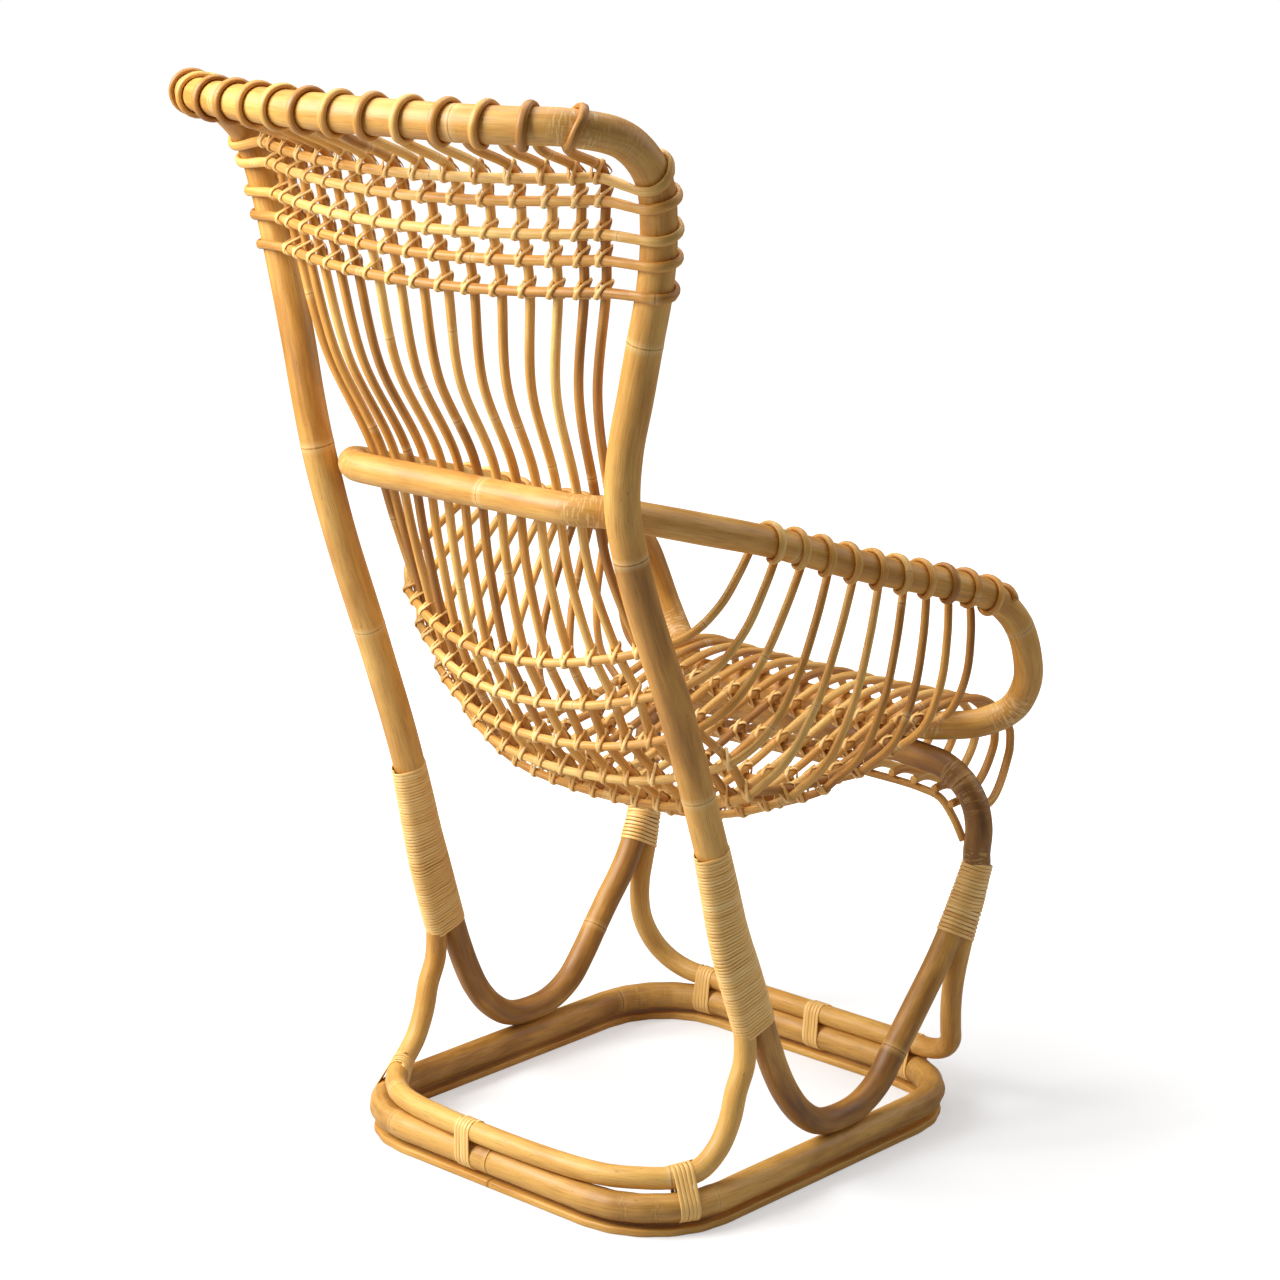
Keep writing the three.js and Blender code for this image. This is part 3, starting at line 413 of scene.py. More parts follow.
def finishPiece(name, mesh, seam, material, nodes):
    bmesh.ops.remove_doubles(mesh, verts=seam, dist=0.0005 * mm)
    bmesh.ops.holes_fill(mesh, edges=[edge for edge in mesh.edges if edge.is_boundary], sides=0)
    bmesh.ops.recalc_face_normals(mesh, faces=mesh.faces)
    for face in mesh.faces:
        face.smooth = len(face.verts) <= 4
    data = bpy.data.meshes.new(name)
    mesh.to_mesh(data)
    mesh.free()
    data.materials.append(material)
    piece = bpy.data.objects.new(name, data)
    scene.collection.objects.link(piece)
    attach(piece, "root")
    if nodes:
        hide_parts(*nodes)
    return piece


rodCount = 0
rodShape = {
    "nodeStations": [d * mm for d in (-7, -5, -3.5, -2.4, -1.5, -0.8, 0, 0.8, 1.5, 2.4, 3.5, 5, 7)],
    "leastStep": 0.4 * mm, "leastLastStep": 0.2 * mm, "uneven": 0.0035, "waves": 6,
    "wavesPerMetre": 7, "buttLength": 30 * mm, "swellReach": 3.2 * mm, "grooveShare": 0.4,
    "grooveReach": 0.9 * mm, "grainShift": (0.61, 0.37, 1.13), "toneSpread": 0.07,
    "bendGain": 4, "bendStart": 0.4, "bendWindow": 9,
}


def stationsAlong(total, along, nodesAt, ease):
    # the line's own stations, with more at each node and one where each end starts to round
    wanted = set(np.round(along, 5))
    for at in nodesAt:
        wanted |= {round(at + d, 5) for d in rodShape["nodeStations"]}
    wanted |= {round(ease, 5), round(total - ease, 5)}
    wanted = np.array(sorted(w for w in wanted if 0 <= w <= total))
    keep = [0]
    for i in range(1, len(wanted) - 1):
        room, ahead = wanted[i] - wanted[keep[-1]], wanted[-1] - wanted[i]
        if room > rodShape["leastStep"] and ahead > rodShape["leastLastStep"]:
            keep.append(i)
    return wanted[keep + [len(wanted) - 1]]


def unevenness(wanted, total):
    # slow waves in thickness, none of them at the two ends, so that the ends of a ring match
    heights = np.random.default_rng(rodCount).normal(size=rodShape["waves"])
    waves = sum(
        height * np.sin((k + 2) * rodShape["wavesPerMetre"] * wanted + height * 9)
        for k, height in enumerate(heights)
    )
    fade = np.clip(np.minimum(wanted, total - wanted) / rodShape["buttLength"], 0, 1)
    return waves * rodShape["uneven"] * fade


def bendAlong(tangents, wanted, radius):
    # how tight the line bends, for a rod this thick
    turn = np.linalg.norm(np.gradient(tangents, axis=0), axis=1)
    turn = turn / np.maximum(np.gradient(wanted), 1e-6)
    window = rodShape["bendWindow"]
    padded = np.pad(turn, window // 2, mode="edge")
    turn = np.convolve(padded, np.ones(window) / window, mode="valid")
    return np.clip(turn * radius * rodShape["bendGain"] - rodShape["bendStart"], 0, 1)


def makeRod(
    name, line, radius, sides, material, nodes,
    nodesAt=(), tone=0.0, swell=0.02, ease=0.12, press=None,
):
    # a round rod along a line, swollen a little at its nodes and with its cut ends eased
    global rodCount
    rodCount += 1
    along = lengthsAlong(line)
    total = along[-1]
    ease = radius * ease
    wanted = stationsAlong(total, along, nodesAt, ease)
    line = resample(line, along, wanted)
    tangents, sideways, upwards = lineFrames(line)
    gaps = np.full(len(wanted), 1.0)
    for at in nodesAt:
        gaps = np.minimum(gaps, np.abs(wanted - at))
    bulge = np.exp(-(gaps / rodShape["swellReach"]) ** 2)
    groove = rodShape["grooveShare"] * np.exp(-(gaps / rodShape["grooveReach"]) ** 2)
    thick = radius * (1 + unevenness(wanted, total) + swell * (bulge - groove))
    thick[0] -= ease
    thick[-1] -= ease
    angles = np.linspace(0, 2 * math.pi, sides, endpoint=False)
    across, aloft = np.cos(angles)[None, :, None], np.sin(angles)[None, :, None]
    ringShape = across * sideways[:, None, :] + aloft * upwards[:, None, :]
    if press:
        # a cane that is wound on a pole is pressed flat against it
        ways, shares = press(line, thick)
        outwards = (ringShape * ways[:, None, :]).sum(axis=2, keepdims=True)
        ringShape = ringShape - outwards * ways[:, None, :] * shares[:, None, None]
    rings = line[:, None, :] + thick[:, None, None] * ringShape
    # each rod has its own part of the grain
    count = len(wanted)
    shiftX, shiftY, shiftAlong = (rodCount * shift for shift in rodShape["grainShift"])
    place = np.stack([
        np.tile(np.cos(angles) * radius, count) + shiftX,
        np.tile(np.sin(angles) * radius, count) + shiftY,
        np.repeat(wanted, sides) + shiftAlong,
    ], axis=1)
    # the length between two nodes has a tone of its own
    spread, internodes = rodShape["toneSpread"], len(nodesAt) + 1
    steps = np.random.default_rng(rodCount + 500).uniform(-spread, spread, internodes)
    tones = tone + steps[np.searchsorted(np.sort(nodesAt), wanted)]
    mesh = newTubes()
    seam = layTube(mesh, rings, {
        "rodPlace": place, "nodeGap": gaps, "rodTone": tones,
        "rodBend": bendAlong(tangents, wanted, radius),
    })
    return finishPiece(name, mesh, seam, material, nodes)


def orient(points, towards):
    # the end that lies furthest in a direction comes first
    return points if np.dot(points[0] - points[-1], towards) > 0 else points[::-1]


up = np.array((0.0, 0.0, 1.0))
left = np.array((1.0, 0.0, 0.0))
back = np.array((0.0, 1.0, 0.0))

sizes = {
    "poleStep": 5 * mm, "longestStraight": 25 * mm, "hoopRadius": 17.2 * mm,
    "armRadius": 15.6 * mm, "ringRadius": 15 * mm, "sideRadius": 14.3 * mm,
    "archRadius": 14.8 * mm, "stretcherRadius": 11.5 * mm, "stripRadius": 4.3 * mm,
}


def poleLine(nodeName, sides, towards=left, straight=None):
    # where a pole has long straights, stations are put into them, so that its corners stay tight
    points = rodMiddles(nodeName, sides)
    if towards is not None:
        points = orient(points, towards)
    if straight:
        points = fillStraights(points, straight)
    return smoothLine(points, sizes["poleStep"])


hoopLine = poleLine("back_hoop", 8)
armLine = poleLine("arm_rail", 8)
archLine = poleLine("front_arch", 8)
stripLine = poleLine("strip_rail", 6)
ringLine = poleLine("base_ring", 8, None, sizes["longestStraight"])
frontRailLine = poleLine("seat_front_rail", 8, left, sizes["longestStraight"])
sideLines = {word: poleLine(f"side_pole_{word}", 8, back) for word in ("left", "right")}
print("lines traced:", len(hoopLine), len(armLine), len(archLine), len(ringLine))

# where the photo shows the poles' nodes, in metres, with more like them on the sides it hides
nodePlaces = {
    "backHoop": [
        (0.213, 0.219, 0.759), (0.25, 0.15, 0.56), (-0.246, 0.223, 0.916), (-0.211, 0.206, 0.707),
        (-0.217, 0.116, 0.454), (0.159, 0.371, 1.121), (-0.159, 0.371, 1.121),
    ],
    "armRail": [
        (-0.038, 0.225, 0.75), (-0.222, -0.021, 0.682), (-0.269, -0.326, 0.548), (0.21, 0.02, 0.69),
    ],
    "frontArch": [(-0.217, -0.303, 0.373), (0.2, -0.3, 0.3), (0.0, -0.34, 0.41)],
    "stripRail": [],
    # the third is at the butt joint, on the end to its left
    "baseRing": [
        (0.228, -0.233, 0.025), (0.146, 0.183, 0.026), (0.001, 0.187, 0.027),
        (-0.228, 0.105, 0.029),
    ],
    "seatFrontRail": [(0.12, -0.37, 0.44)],
    "sidePoleLeft": [(0.228, -0.201, 0.129)],
    "sidePoleRight": [(-0.232, -0.181, 0.106), (-0.23, 0.09, 0.25)],
}


def alongLine(line, places):
    # how far along the line each place lies
    reach = lengthsAlong(line)
    return [reach[np.linalg.norm(line - np.array(place), axis=1).argmin()] for place in places]


def makePole(name, line, radius, sides, node, tone=0.0, ripe=False, ease=0.12):
    # a butt joint, as in the base ring, is eased less than a free end
    material, slot = (darkRattanPole, "dark_rattan_pole") if ripe else (rattanPole, "rattan_pole")
    nodesAt = alongLine(line, nodePlaces[name])
    makeRod(name, line, sizes[radius], sides, material, [node], nodesAt, tone, ease=ease)


makePole("backHoop", hoopLine, "hoopRadius", 32, "back_hoop", 0.02)
makePole("armRail", armLine, "armRadius", 30, "arm_rail", 0.02)
makePole("frontArch", archLine, "archRadius", 28, "front_arch", ripe=True)
makePole("stripRail", stripLine, "stripRadius", 14, "strip_rail", 0.05)
makePole("baseRing", ringLine, "ringRadius", 30, "base_ring", 0.14, True, 0.01)
makePole("seatFrontRail", frontRailLine, "armRadius", 28, "seat_front_rail")
for word, line in sideLines.items():
    makePole(f"sidePole{word.title()}", line, "sideRadius", 28, f"side_pole_{word}", ripe=True)
print("poles made")


# windings: one long strip of peel round two poles that lie side by side
wrapLook = {
    "leg_wrap_back": {
        "turns": 58, "width": 3.3 * mm, "radii": ("hoopRadius", "sideRadius"), "joint": 0.56,
    },
    "leg_wrap_front": {
        "turns": 20, "width": 3.5 * mm, "radii": ("archRadius", "sideRadius"), "joint": 0.56,
    },
    "base_binding": {
        "turns": 5, "width": 4.1 * mm, "radii": ("ringRadius", "ringRadius"), "joint": 0.5,
    },
}
peelSizes = {
    "lift": 0.15 * mm, "thickness": 1.1 * mm, "stepsPerTurn": 30, "flatsPerTurn": 8,
    "lookAhead": 0.02, "toneSpread": 0.07, "toneBlend": 9,
}


def circleThrough(a, b, c):
    # middle of the circle through three points
    ab, ac = b - a, c - a
    normal = np.cross(ab, ac)
    offset = np.cross(normal, ab) * np.dot(ac, ac) + np.cross(ac, normal) * np.dot(ab, ab)
    return a + offset / (2 * np.dot(normal, normal))


def windingAxes(nodeName):
    # the faceted winding has eight corners a turn: four round each of its two poles
    perTurn = peelSizes["flatsPerTurn"]
    points = rodMiddles(nodeName, 4)
    found = []
    for line in (points, points[::-1]):
        turns = (len(line) - 1) // perTurn
        axes, error = {2: ([], []), 6: ([], [])}, 0
        for turn in range(turns):
            along = unit(line[perTurn * (turn + 1)] - line[perTurn * turn])
            for first, (shares, centres) in axes.items():
                corners = line[perTurn * turn + first:perTurn * turn + first + 4]
                if len(corners) < 4:
                    continue
                ahead = (corners - corners[0]) @ along
                flat = corners - np.outer(ahead, along)
                centre = circleThrough(flat[0], flat[1], flat[3])
                error += abs(np.linalg.norm(flat[2] - centre) - np.linalg.norm(flat[0] - centre))
                shares.append((turn + (first + 1.5) / perTurn) / turns)
                centres.append(centre + along * ahead.mean())
        found.append((error / turns, axes[6], axes[2]))
    return min(found, key=lambda item: item[0])[1:]


def axisPoint(axis, share):
    # the axis runs on straight past its first and last known places
    shares, centres = axis
    index = min(max(np.searchsorted(shares, share) - 1, 0), len(shares) - 2)
    ratio = (share - shares[index]) / (shares[index + 1] - shares[index])
    return centres[index] + (centres[index + 1] - centres[index]) * ratio


def hullPoint(spread, main, second, share):
    # a place on the band round two circles, as outward, aside and the angle of the band's normal
    sideAngle = math.acos(min(max((main - second) / spread, -1), 1))
    straight = math.sqrt(max(spread ** 2 - (main - second) ** 2, 0))
    shortArc, longArc = sideAngle * second, 2 * (math.pi - sideAngle) * main
    lengths = [shortArc, straight, longArc, straight, shortArc]
    way = share * sum(lengths)
    for part, length in enumerate(lengths):
        if way <= length or part == 4:
            break
        way -= length
    if part in (0, 4):
        angle = way / second if part == 0 else way / second - sideAngle
        return spread + second * math.cos(angle), second * math.sin(angle), angle
    if part == 2:
        angle = sideAngle + way / main
        return main * math.cos(angle), main * math.sin(angle), angle
    angle = sideAngle if part == 1 else -sideAngle
    ahead = 1 - way / straight if part == 1 else way / straight
    secondPart = np.array((spread + second * math.cos(angle), second * math.sin(angle)))
    mainPart = np.array((main * math.cos(angle), main * math.sin(angle)))
    place = mainPart + (secondPart - mainPart) * ahead
    return place[0], place[1], angle


# a peel strip's section: flat inside, gently round outside, as shares of its width and thickness
peelSection = [
    (-0.5, 0.0), (-0.5, 0.55), (-0.38, 0.86), (-0.14, 1.0),
    (0.14, 1.0), (0.38, 0.86), (0.5, 0.55), (0.5, 0.0),
]


def windPeel(name, nodeName, look):
    mainAxis, secondAxis = windingAxes(nodeName)
    steps = look["turns"] * peelSizes["stepsPerTurn"]
    width, lift, thickness = look["width"], peelSizes["lift"], peelSizes["thickness"]
    topRadius, endRadius = (sizes[key] for key in look["radii"])
    rings, places, travelled, last = [], [], 0.0, None
    for i in range(steps + 1):
        share = i / steps
        main, second = axisPoint(mainAxis, share), axisPoint(secondAxis, share)
        ahead, behind = share + peelSizes["lookAhead"], share - peelSizes["lookAhead"]
        along = unit(axisPoint(mainAxis, ahead) - axisPoint(mainAxis, behind))
        reach = second - main
        reach = reach - along * np.dot(reach, along)
        outward = unit(reach)
        aside = np.cross(along, outward)
        # past the joint the leg gives way to the thinner side pole
        mainRadius = np.interp(share, [0, look["joint"], 1], [topRadius, topRadius, endRadius])
        turnShare = (i % peelSizes["stepsPerTurn"]) / peelSizes["stepsPerTurn"]
        out, side, angle = hullPoint(
            np.linalg.norm(reach), mainRadius + lift, sizes["stretcherRadius"] + lift, turnShare,
        )
        centre = main + outward * out + aside * side
        normal = outward * math.cos(angle) + aside * math.sin(angle)
        if last is not None:
            travelled += np.linalg.norm(centre - last)
        last = centre
        # each turn lies a little unevenly
        jitter = 0.1 * mm * math.sin(i * 0.37) + 0.08 * mm * math.sin(i * 0.113 + 1)
        rings.append([
            centre + along * (x * width + jitter) + normal * (y * thickness) for x, y in peelSection
        ])
        places += [(x * width, y * thickness, travelled) for x, y in peelSection]
    # every turn has its own tone
    spread, blend = peelSizes["toneSpread"], peelSizes["toneBlend"]
    tones = np.random.default_rng(len(name)).uniform(-spread, spread, look["turns"] + 1)
    tones = np.repeat(tones, peelSizes["stepsPerTurn"])
    mesh = newTubes()
    seam = layTube(mesh, rings, {
        "rodPlace": np.array(places) + random.uniform(0, 1),
        "rodTone": np.convolve(tones, np.ones(blend) / blend, mode="same")[:steps + 1],
    })
    return finishPiece(name, mesh, seam, rattanPeel, [nodeName])


def plainName(nodeName):
    words = nodeName.split("_")
    return words[0] + "".join(word.title() for word in words[1:])


windingNodes = [name for name in sorted(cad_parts) if name.startswith(tuple(wrapLook))]
for nodeName in windingNodes:
    look = next(wrapLook[key] for key in wrapLook if nodeName.startswith(key))
    windPeel(plainName(nodeName), nodeName, look)
print("windings made:", len(windingNodes))


# stretchers: whole between the legs, with scarfed ends that run up under the windings
stretcherLook = {"nodeShares": (0.36, 0.68), "scarfRise": 12 * mm, "tone": 0.14, "swell": 0.04}


def stretcherLine(place):
    whole = orient(openMiddles(f"{place}_stretcher", 6), left)
    ends = []
    for word, foot in (("left", whole[0]), ("right", whole[-1])):
        middles = np.array(windingAxes(f"leg_wrap_{place}_{word}")[1][1])
        rising = middles if middles[0][2] < middles[-1][2] else middles[::-1]
        ends.append(rising[rising[:, 2] > foot[2] + stretcherLook["scarfRise"]])
    return smoothLine(np.vstack([ends[0][::-1], whole, ends[1]]), sizes["poleStep"])


for place in ("back", "front"):
    line = stretcherLine(place)
    length = lengthsAlong(line)[-1]
    nodesAt = [length * share for share in stretcherLook["nodeShares"]]
    makeRod(
        f"{place}Stretcher", line, sizes["stretcherRadius"], 26, rattanPole,
        [f"{place}_stretcher"], nodesAt, stretcherLook["tone"], stretcherLook["swell"],
    )


# the skid: a flat strip under the base ring
skidSizes = {
    "width": 21 * mm, "height": 8 * mm, "round": 2.2 * mm, "corners": 4, "longestStraight": 20 * mm,
    "tone": 0.1,
}


def makeSkid():
    points = fillStraights(rodMiddles("ring_skid", 4), skidSizes["longestStraight"])
    line = smoothLine(points, sizes["poleStep"])
    tangents = unit(np.gradient(line, axis=0))
    sideways = unit(np.cross(tangents, up))
    half, tall, soft = skidSizes["width"] / 2, skidSizes["height"] / 2, skidSizes["round"]
    outline = []
    for quarter, (x, y) in enumerate(((1, 1), (-1, 1), (-1, -1), (1, -1))):
        for k in range(skidSizes["corners"] + 1):
            angle = math.pi / 2 * (quarter + k / skidSizes["corners"])
            aside, upright = soft * math.cos(angle), soft * math.sin(angle)
            outline.append((x * (half - soft) + aside, y * (tall - soft) + upright))
    rings = [[point + side * x + up * y for x, y in outline] for point, side in zip(line, sideways)]
    places = [(x, y, at) for at in lengthsAlong(line) for x, y in outline]
    mesh = newTubes()
    seam = layTube(mesh, rings, {"rodPlace": places, "rodTone": skidSizes["tone"]})
    finishPiece("ringSkid", mesh, seam, rattanPole, ["ring_skid"])


makeSkid()
print("stretchers and skid made")


caneSizes = {
    "warpRadius": 4.7 * mm, "crossRadius": 4.4 * mm, "headRadius": 4.8 * mm, "caneSides": 14,
    "step": 4.5 * mm, "turnStep": 5 * mm, "turnStations": 8, "lastTurnStations": 12,
    "pressed": 0.36, "pressFade": 6 * mm, "trimmed": 2, "thickest": 1.06, "toneSpread": 0.16,
    "swell": 0.03, "leastEnd": 30 * mm,
}


def tightenTurn(points, count, tree, reach):
    # a turn's stations are its polygon's corners: more go between, and all are drawn to the pole
    turned = fillStraights(points[:count], caneSizes["turnStep"])
    tight = []
    for point in turned:
        centre = np.array(tree.find(point)[0])
        tight.append(centre + unit(point - centre) * reach)
    return np.vstack([tight, points[count:]])


def pressOn(tree, poleRadius):
    # at each place of a cane's line: the way from the pole, and the share of thickness that goes
    def press(line, thick):
        ways, shares = [], []
        for point, half in zip(line, thick):
            away = point - np.array(tree.find(point)[0])
            gap = np.linalg.norm(away) - poleRadius - half
            ways.append(away)
            shares.append(caneSizes["pressed"] * min(max(1 - gap / caneSizes["pressFade"], 0), 1))
        return unit(np.array(ways)), np.array(shares)
    return press


def turnReach(poleRadius, caneRadius):
    return poleRadius + caneRadius * (1 - caneSizes["pressed"])


hoopTree, armTree = makeTree(hoopLine), makeTree(armLine)
turnCount, lastTurnCount = caneSizes["turnStations"], caneSizes["lastTurnStations"]
warpReach = turnReach(sizes["hoopRadius"], caneSizes["warpRadius"])
crossReach = turnReach(sizes["armRadius"], caneSizes["crossRadius"])
headReach = turnReach(sizes["hoopRadius"], caneSizes["headRadius"])
frontLimit = cadBox[0][1] + caneSizes["warpRadius"] * caneSizes["thickest"]
warpLines, crossLines, headLines = {}, {}, {}
for name in sorted(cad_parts):
    if name.startswith("warp_cane"):
        points = orient(rodMiddles(name, 5), up)
        points = tightenTurn(points, turnCount, hoopTree, warpReach)
        line = smoothLine(points, caneSizes["step"])
        line[:, 1] = np.maximum(line[:, 1], frontLimit)
        warpLines[name] = line
    elif name.startswith("cross_cane"):
        points = orient(rodMiddles(name, 5), left)
        count = lastTurnCount if name == "cross_cane_10" else turnCount
        for _ in range(2):
            points = tightenTurn(points, count, armTree, crossReach)[::-1]
        crossLines[name] = smoothLine(points, caneSizes["step"])
    elif name.startswith("head_cane"):
        points = orient(rodMiddles(name, 5), left)
        for _ in range(2):
            points = tightenTurn(points, turnCount, hoopTree, headReach)[::-1]
        line = smoothLine(points, caneSizes["step"])
        headLines[name] = line[caneSizes["trimmed"]:-caneSizes["trimmed"]]

onHoop, onArm = pressOn(hoopTree, sizes["hoopRadius"]), pressOn(armTree, sizes["armRadius"])
caneKinds = (
    (warpLines, "warpRadius", "warpCane", onHoop), (crossLines, "crossRadius", "crossCane", onArm),
    (headLines, "headRadius", "headCane", onHoop),
)
for group, radius, title, press in caneKinds:
    for name, line in group.items():
        length, edge = lengthsAlong(line)[-1], caneSizes["leastEnd"]
        places = np.arange(random.uniform(0.1, 0.3), length, random.uniform(0.24, 0.36))
        nodesAt = [at for at in places if edge < at < length - edge]
        tone = random.uniform(-caneSizes["toneSpread"], caneSizes["toneSpread"])
        makeRod(
            title + name[-2:], line, caneSizes[radius], caneSizes["caneSides"], rattanCane,
            [name], nodesAt, tone, caneSizes["swell"], press=press,
        )
print("canes made")


# lashings: two narrow strips of peel over every crossing of two canes
lashLook = {
    "width": 4.4 * mm, "thickness": 1.2 * mm, "lift": 0.1 * mm, "steps": 20, "reach": 3 * mm,
    "crossAngle": 23, "headAngle": 25, "spread": 7, "slide": 4 * mm, "leastLean": (0.4, 0.45),
    "stepLength": 1.5 * mm, "toneSpread": 0.15, "overlap": 0.6,
}
lashSection = [(-0.5, 0.0), (-0.4, 0.8), (0.0, 1.0), (0.4, 0.8), (0.5, 0.0)]


def nearestOnLines(first, second):
    # the closest places of two lines, with their directions
    apart = np.linalg.norm(first[:, None, :] - second[None, :, :], axis=2)
    i, j = np.unravel_index(apart.argmin(), apart.shape)
    tangents = []
    points = []
    for line, index in ((first, i), (second, j)):
        low, high = max(index - 1, 0), min(index + 1, len(line) - 1)
        tangents.append(unit(line[high] - line[low]))
        points.append(line[index])
    p, q, u, v = points[0], points[1], tangents[0], tangents[1]
    across = np.dot(u, v)
    gap = q - p
    bottom = max(1 - across ** 2, 1e-6)
    alongFirst = (np.dot(gap, u) - across * np.dot(gap, v)) / bottom
    alongSecond = (across * np.dot(gap, u) - np.dot(gap, v)) / bottom
    slide = lashLook["slide"]
    p = p + u * np.clip(alongFirst, -slide, slide)
    q = q + v * np.clip(alongSecond, -slide, slide)
    return p, u, q, v


def pushOut(point, canes, lift):
    for centre, direction, radius in canes:
        away = point - centre
        away = away - direction * np.dot(away, direction)
        distance = np.linalg.norm(away)
        if 1e-7 < distance < radius + lift:
            point = point + away / distance * (radius + lift - distance)
    return point


def addLashing(mesh, inner, outer, angle, lift):
    # a closed strip, drawn tight over the outer cane and behind the inner one
    (innerPoint, innerWay, innerRadius), (outerPoint, outerWay, outerRadius) = inner, outer
    normal = unit(outerPoint - innerPoint)
    straight = unit(innerWay - normal * np.dot(innerWay, normal))
    way = straight * math.cos(angle) + np.cross(normal, straight) * math.sin(angle)
    widthWay = np.cross(normal, way)
    # the strip runs aslant, so it has further to go round each cane
    outerLean, innerLean = lashLook["leastLean"]
    outerReach = (outerRadius + lift) / max(np.linalg.norm(np.cross(way, outerWay)), outerLean)
    innerReach = (innerRadius + lift) / max(np.linalg.norm(np.cross(way, innerWay)), innerLean)
    rings, places, travelled = [], [], 0.0
    shift = random.uniform(0, 3)
    for i in range(lashLook["steps"]):
        turn = 2 * math.pi * i / lashLook["steps"]
        centre, reach, radius = innerPoint, innerReach, innerRadius
        if math.sin(turn) >= 0:
            centre, reach, radius = outerPoint, outerReach, outerRadius
        spot = centre + way * reach * math.cos(turn) + normal * (radius + lift) * math.sin(turn)
        facing = way * math.cos(turn) * radius + normal * math.sin(turn) * reach
        facing = unit(facing + normal * 1e-6)
        rings.append([
            pushOut(
                spot + widthWay * x * lashLook["width"] + facing * y * lashLook["thickness"],
                (inner, outer), lift + y * lashLook["thickness"],
            ) for x, y in lashSection
        ])
        travelled += lashLook["stepLength"]
        places += [
            (x * lashLook["width"] + shift, y * mm, travelled + shift) for x, y in lashSection
        ]
    tone = random.uniform(-lashLook["toneSpread"], lashLook["toneSpread"])
    return layTube(mesh, rings, {"rodPlace": places, "rodTone": tone}, closed=True)


def makeLashings(name, innerLines, innerRadius, outerLines, outerRadius, degrees):
    # the second strip of a crossing lies over the first
    mesh, seam, crossings = newTubes(), [], 0
    lower = lashLook["lift"]
    upper = lower + lashLook["overlap"] * lashLook["thickness"]
    for outerLine in outerLines.values():
        for innerLine in innerLines.values():
            p, u, q, v = nearestOnLines(innerLine, outerLine)
            if np.linalg.norm(q - p) > innerRadius + outerRadius + lashLook["reach"]:
                continue
            crossings += 1
            for side, lift in ((1, lower), (-1, upper)):
                angle = math.radians(side * (degrees + random.uniform(-1, 1) * lashLook["spread"]))
                seam += addLashing(mesh, (p, u, innerRadius), (q, v, outerRadius), angle, lift)
    finishPiece(name, mesh, seam, rattanPeel, [])
    print(name, "at", crossings, "crossings")


makeLashings(
    "crossLashings", warpLines, caneSizes["warpRadius"],
    crossLines, caneSizes["crossRadius"], lashLook["crossAngle"],
)
makeLashings(
    "headLashings", warpLines, caneSizes["warpRadius"],
    headLines, caneSizes["headRadius"], lashLook["headAngle"],
)


# the paper burns out to white away from the chair, and the soft shadow stays beside it
floorLook = {"size": 12.0, "paint": 0.55, "burnFrom": 0.45, "burnTo": 1.2, "leastGlow": 0.45}


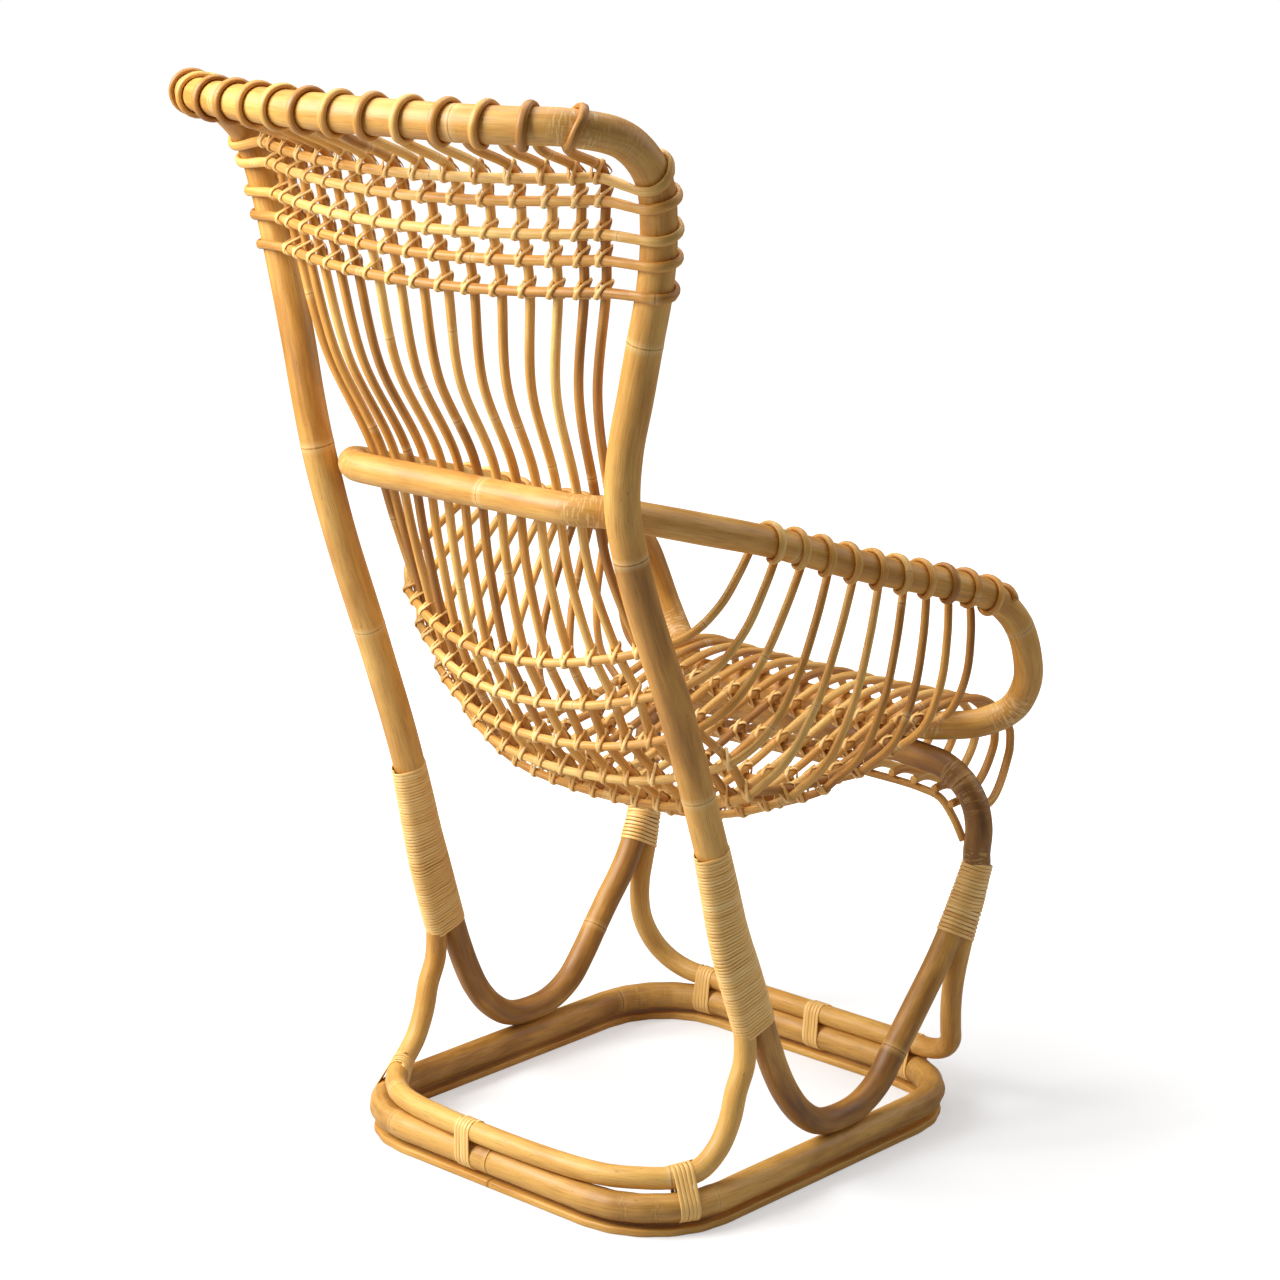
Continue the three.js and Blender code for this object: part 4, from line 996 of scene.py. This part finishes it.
def makeStage():
    floor = bmesh.new()
    bmesh.ops.create_grid(floor, x_segments=1, y_segments=1, size=floorLook["size"])
    data = bpy.data.meshes.new("studioFloor")
    floor.to_mesh(data)
    floor.free()
    material = bpy.data.materials.new("whiteStudioFloor")
    material.use_nodes = True
    tree = material.node_tree
    tree.nodes.clear()
    path = addNode(tree, "ShaderNodeLightPath")
    place = addNode(tree, "ShaderNodeTexCoord")
    away = addNode(tree, "ShaderNodeVectorMath", {"operation": "LENGTH"}, {0: (place, "Object")})
    burn = addNode(tree, "ShaderNodeMapRange", {"interpolation_type": "SMOOTHSTEP"}, {
        "Value": (away, "Value"), "From Min": floorLook["burnFrom"],
        "From Max": floorLook["burnTo"], "To Min": floorLook["leastGlow"], "To Max": 1.0,
    })
    seen = addNode(tree, "ShaderNodeMath", {"operation": "MULTIPLY"}, {
        0: (burn, "Result"), 1: (path, "Is Camera Ray"),
    })
    paint = addNode(tree, "ShaderNodeBsdfDiffuse", {}, {"Color": grey(floorLook["paint"])})
    glow = addNode(tree, "ShaderNodeEmission", {}, {
        "Color": grey(1.0), "Strength": (seen, "Value"),
    })
    both = addNode(tree, "ShaderNodeAddShader", {}, {0: (paint, 0), 1: (glow, 0)})
    addNode(tree, "ShaderNodeOutputMaterial", {}, {"Surface": (both, 0)})
    data.materials.append(material)
    stage = bpy.data.objects.new("studioFloor", data)
    scene.collection.objects.link(stage)


lightLook = {
    "key": {"place": (1.15, 1.75, 2.0), "size": 1.6, "watts": 116},
    "rim": {"place": (-1.3, -1.9, 1.8), "size": 1.8, "watts": 18},
    "top": {"place": (0.3, -0.2, 2.6), "size": 1.6, "watts": 32},
}
aimHeight = 0.5
roomFill = 0.14


def makeLights():
    for name, look in lightLook.items():
        lamp = bpy.data.lights.new(name, "AREA")
        lamp.shape = "SQUARE"
        lamp.size = look["size"]
        lamp.energy = look["watts"]
        light = bpy.data.objects.new(name, lamp)
        light.location = look["place"]
        aim = Vector((0, 0, aimHeight)) - light.location
        light.rotation_euler = aim.to_track_quat("-Z", "Y").to_euler()
        scene.collection.objects.link(light)
    world = bpy.data.worlds.new("studio")
    world.use_nodes = True
    tree = world.node_tree
    tree.nodes.clear()
    path = addNode(tree, "ShaderNodeLightPath")
    # white to the camera, and a weak even fill for everything else
    power = addNode(tree, "ShaderNodeMapRange", {}, {
        "Value": (path, "Is Camera Ray"), "To Min": roomFill, "To Max": 1.0,
    })
    sky = addNode(tree, "ShaderNodeBackground", {}, {
        "Color": grey(1.0), "Strength": (power, "Result"),
    })
    addNode(tree, "ShaderNodeOutputWorld", {}, {"Surface": (sky, "Background")})
    scene.world = world


# solved from the photograph
cameraLook = {
    "place": (-2.254, 2.3857, 1.408), "way": (0.6595, -0.7079, -0.2527), "lens": 91.9, "sensor": 36,
}


def makeCamera():
    lens = bpy.data.cameras.new("camera")
    lens.sensor_width = cameraLook["sensor"]
    lens.sensor_fit = "HORIZONTAL"
    lens.lens = cameraLook["lens"]
    camera = bpy.data.objects.new("camera", lens)
    camera.location = cameraLook["place"]
    camera.rotation_euler = Vector(cameraLook["way"]).to_track_quat("-Z", "Y").to_euler()
    scene.collection.objects.link(camera)
    scene.camera = camera


makeStage()
makeLights()
makeCamera()
scene.view_settings.view_transform = "Standard"
print("stage, lights and camera made")
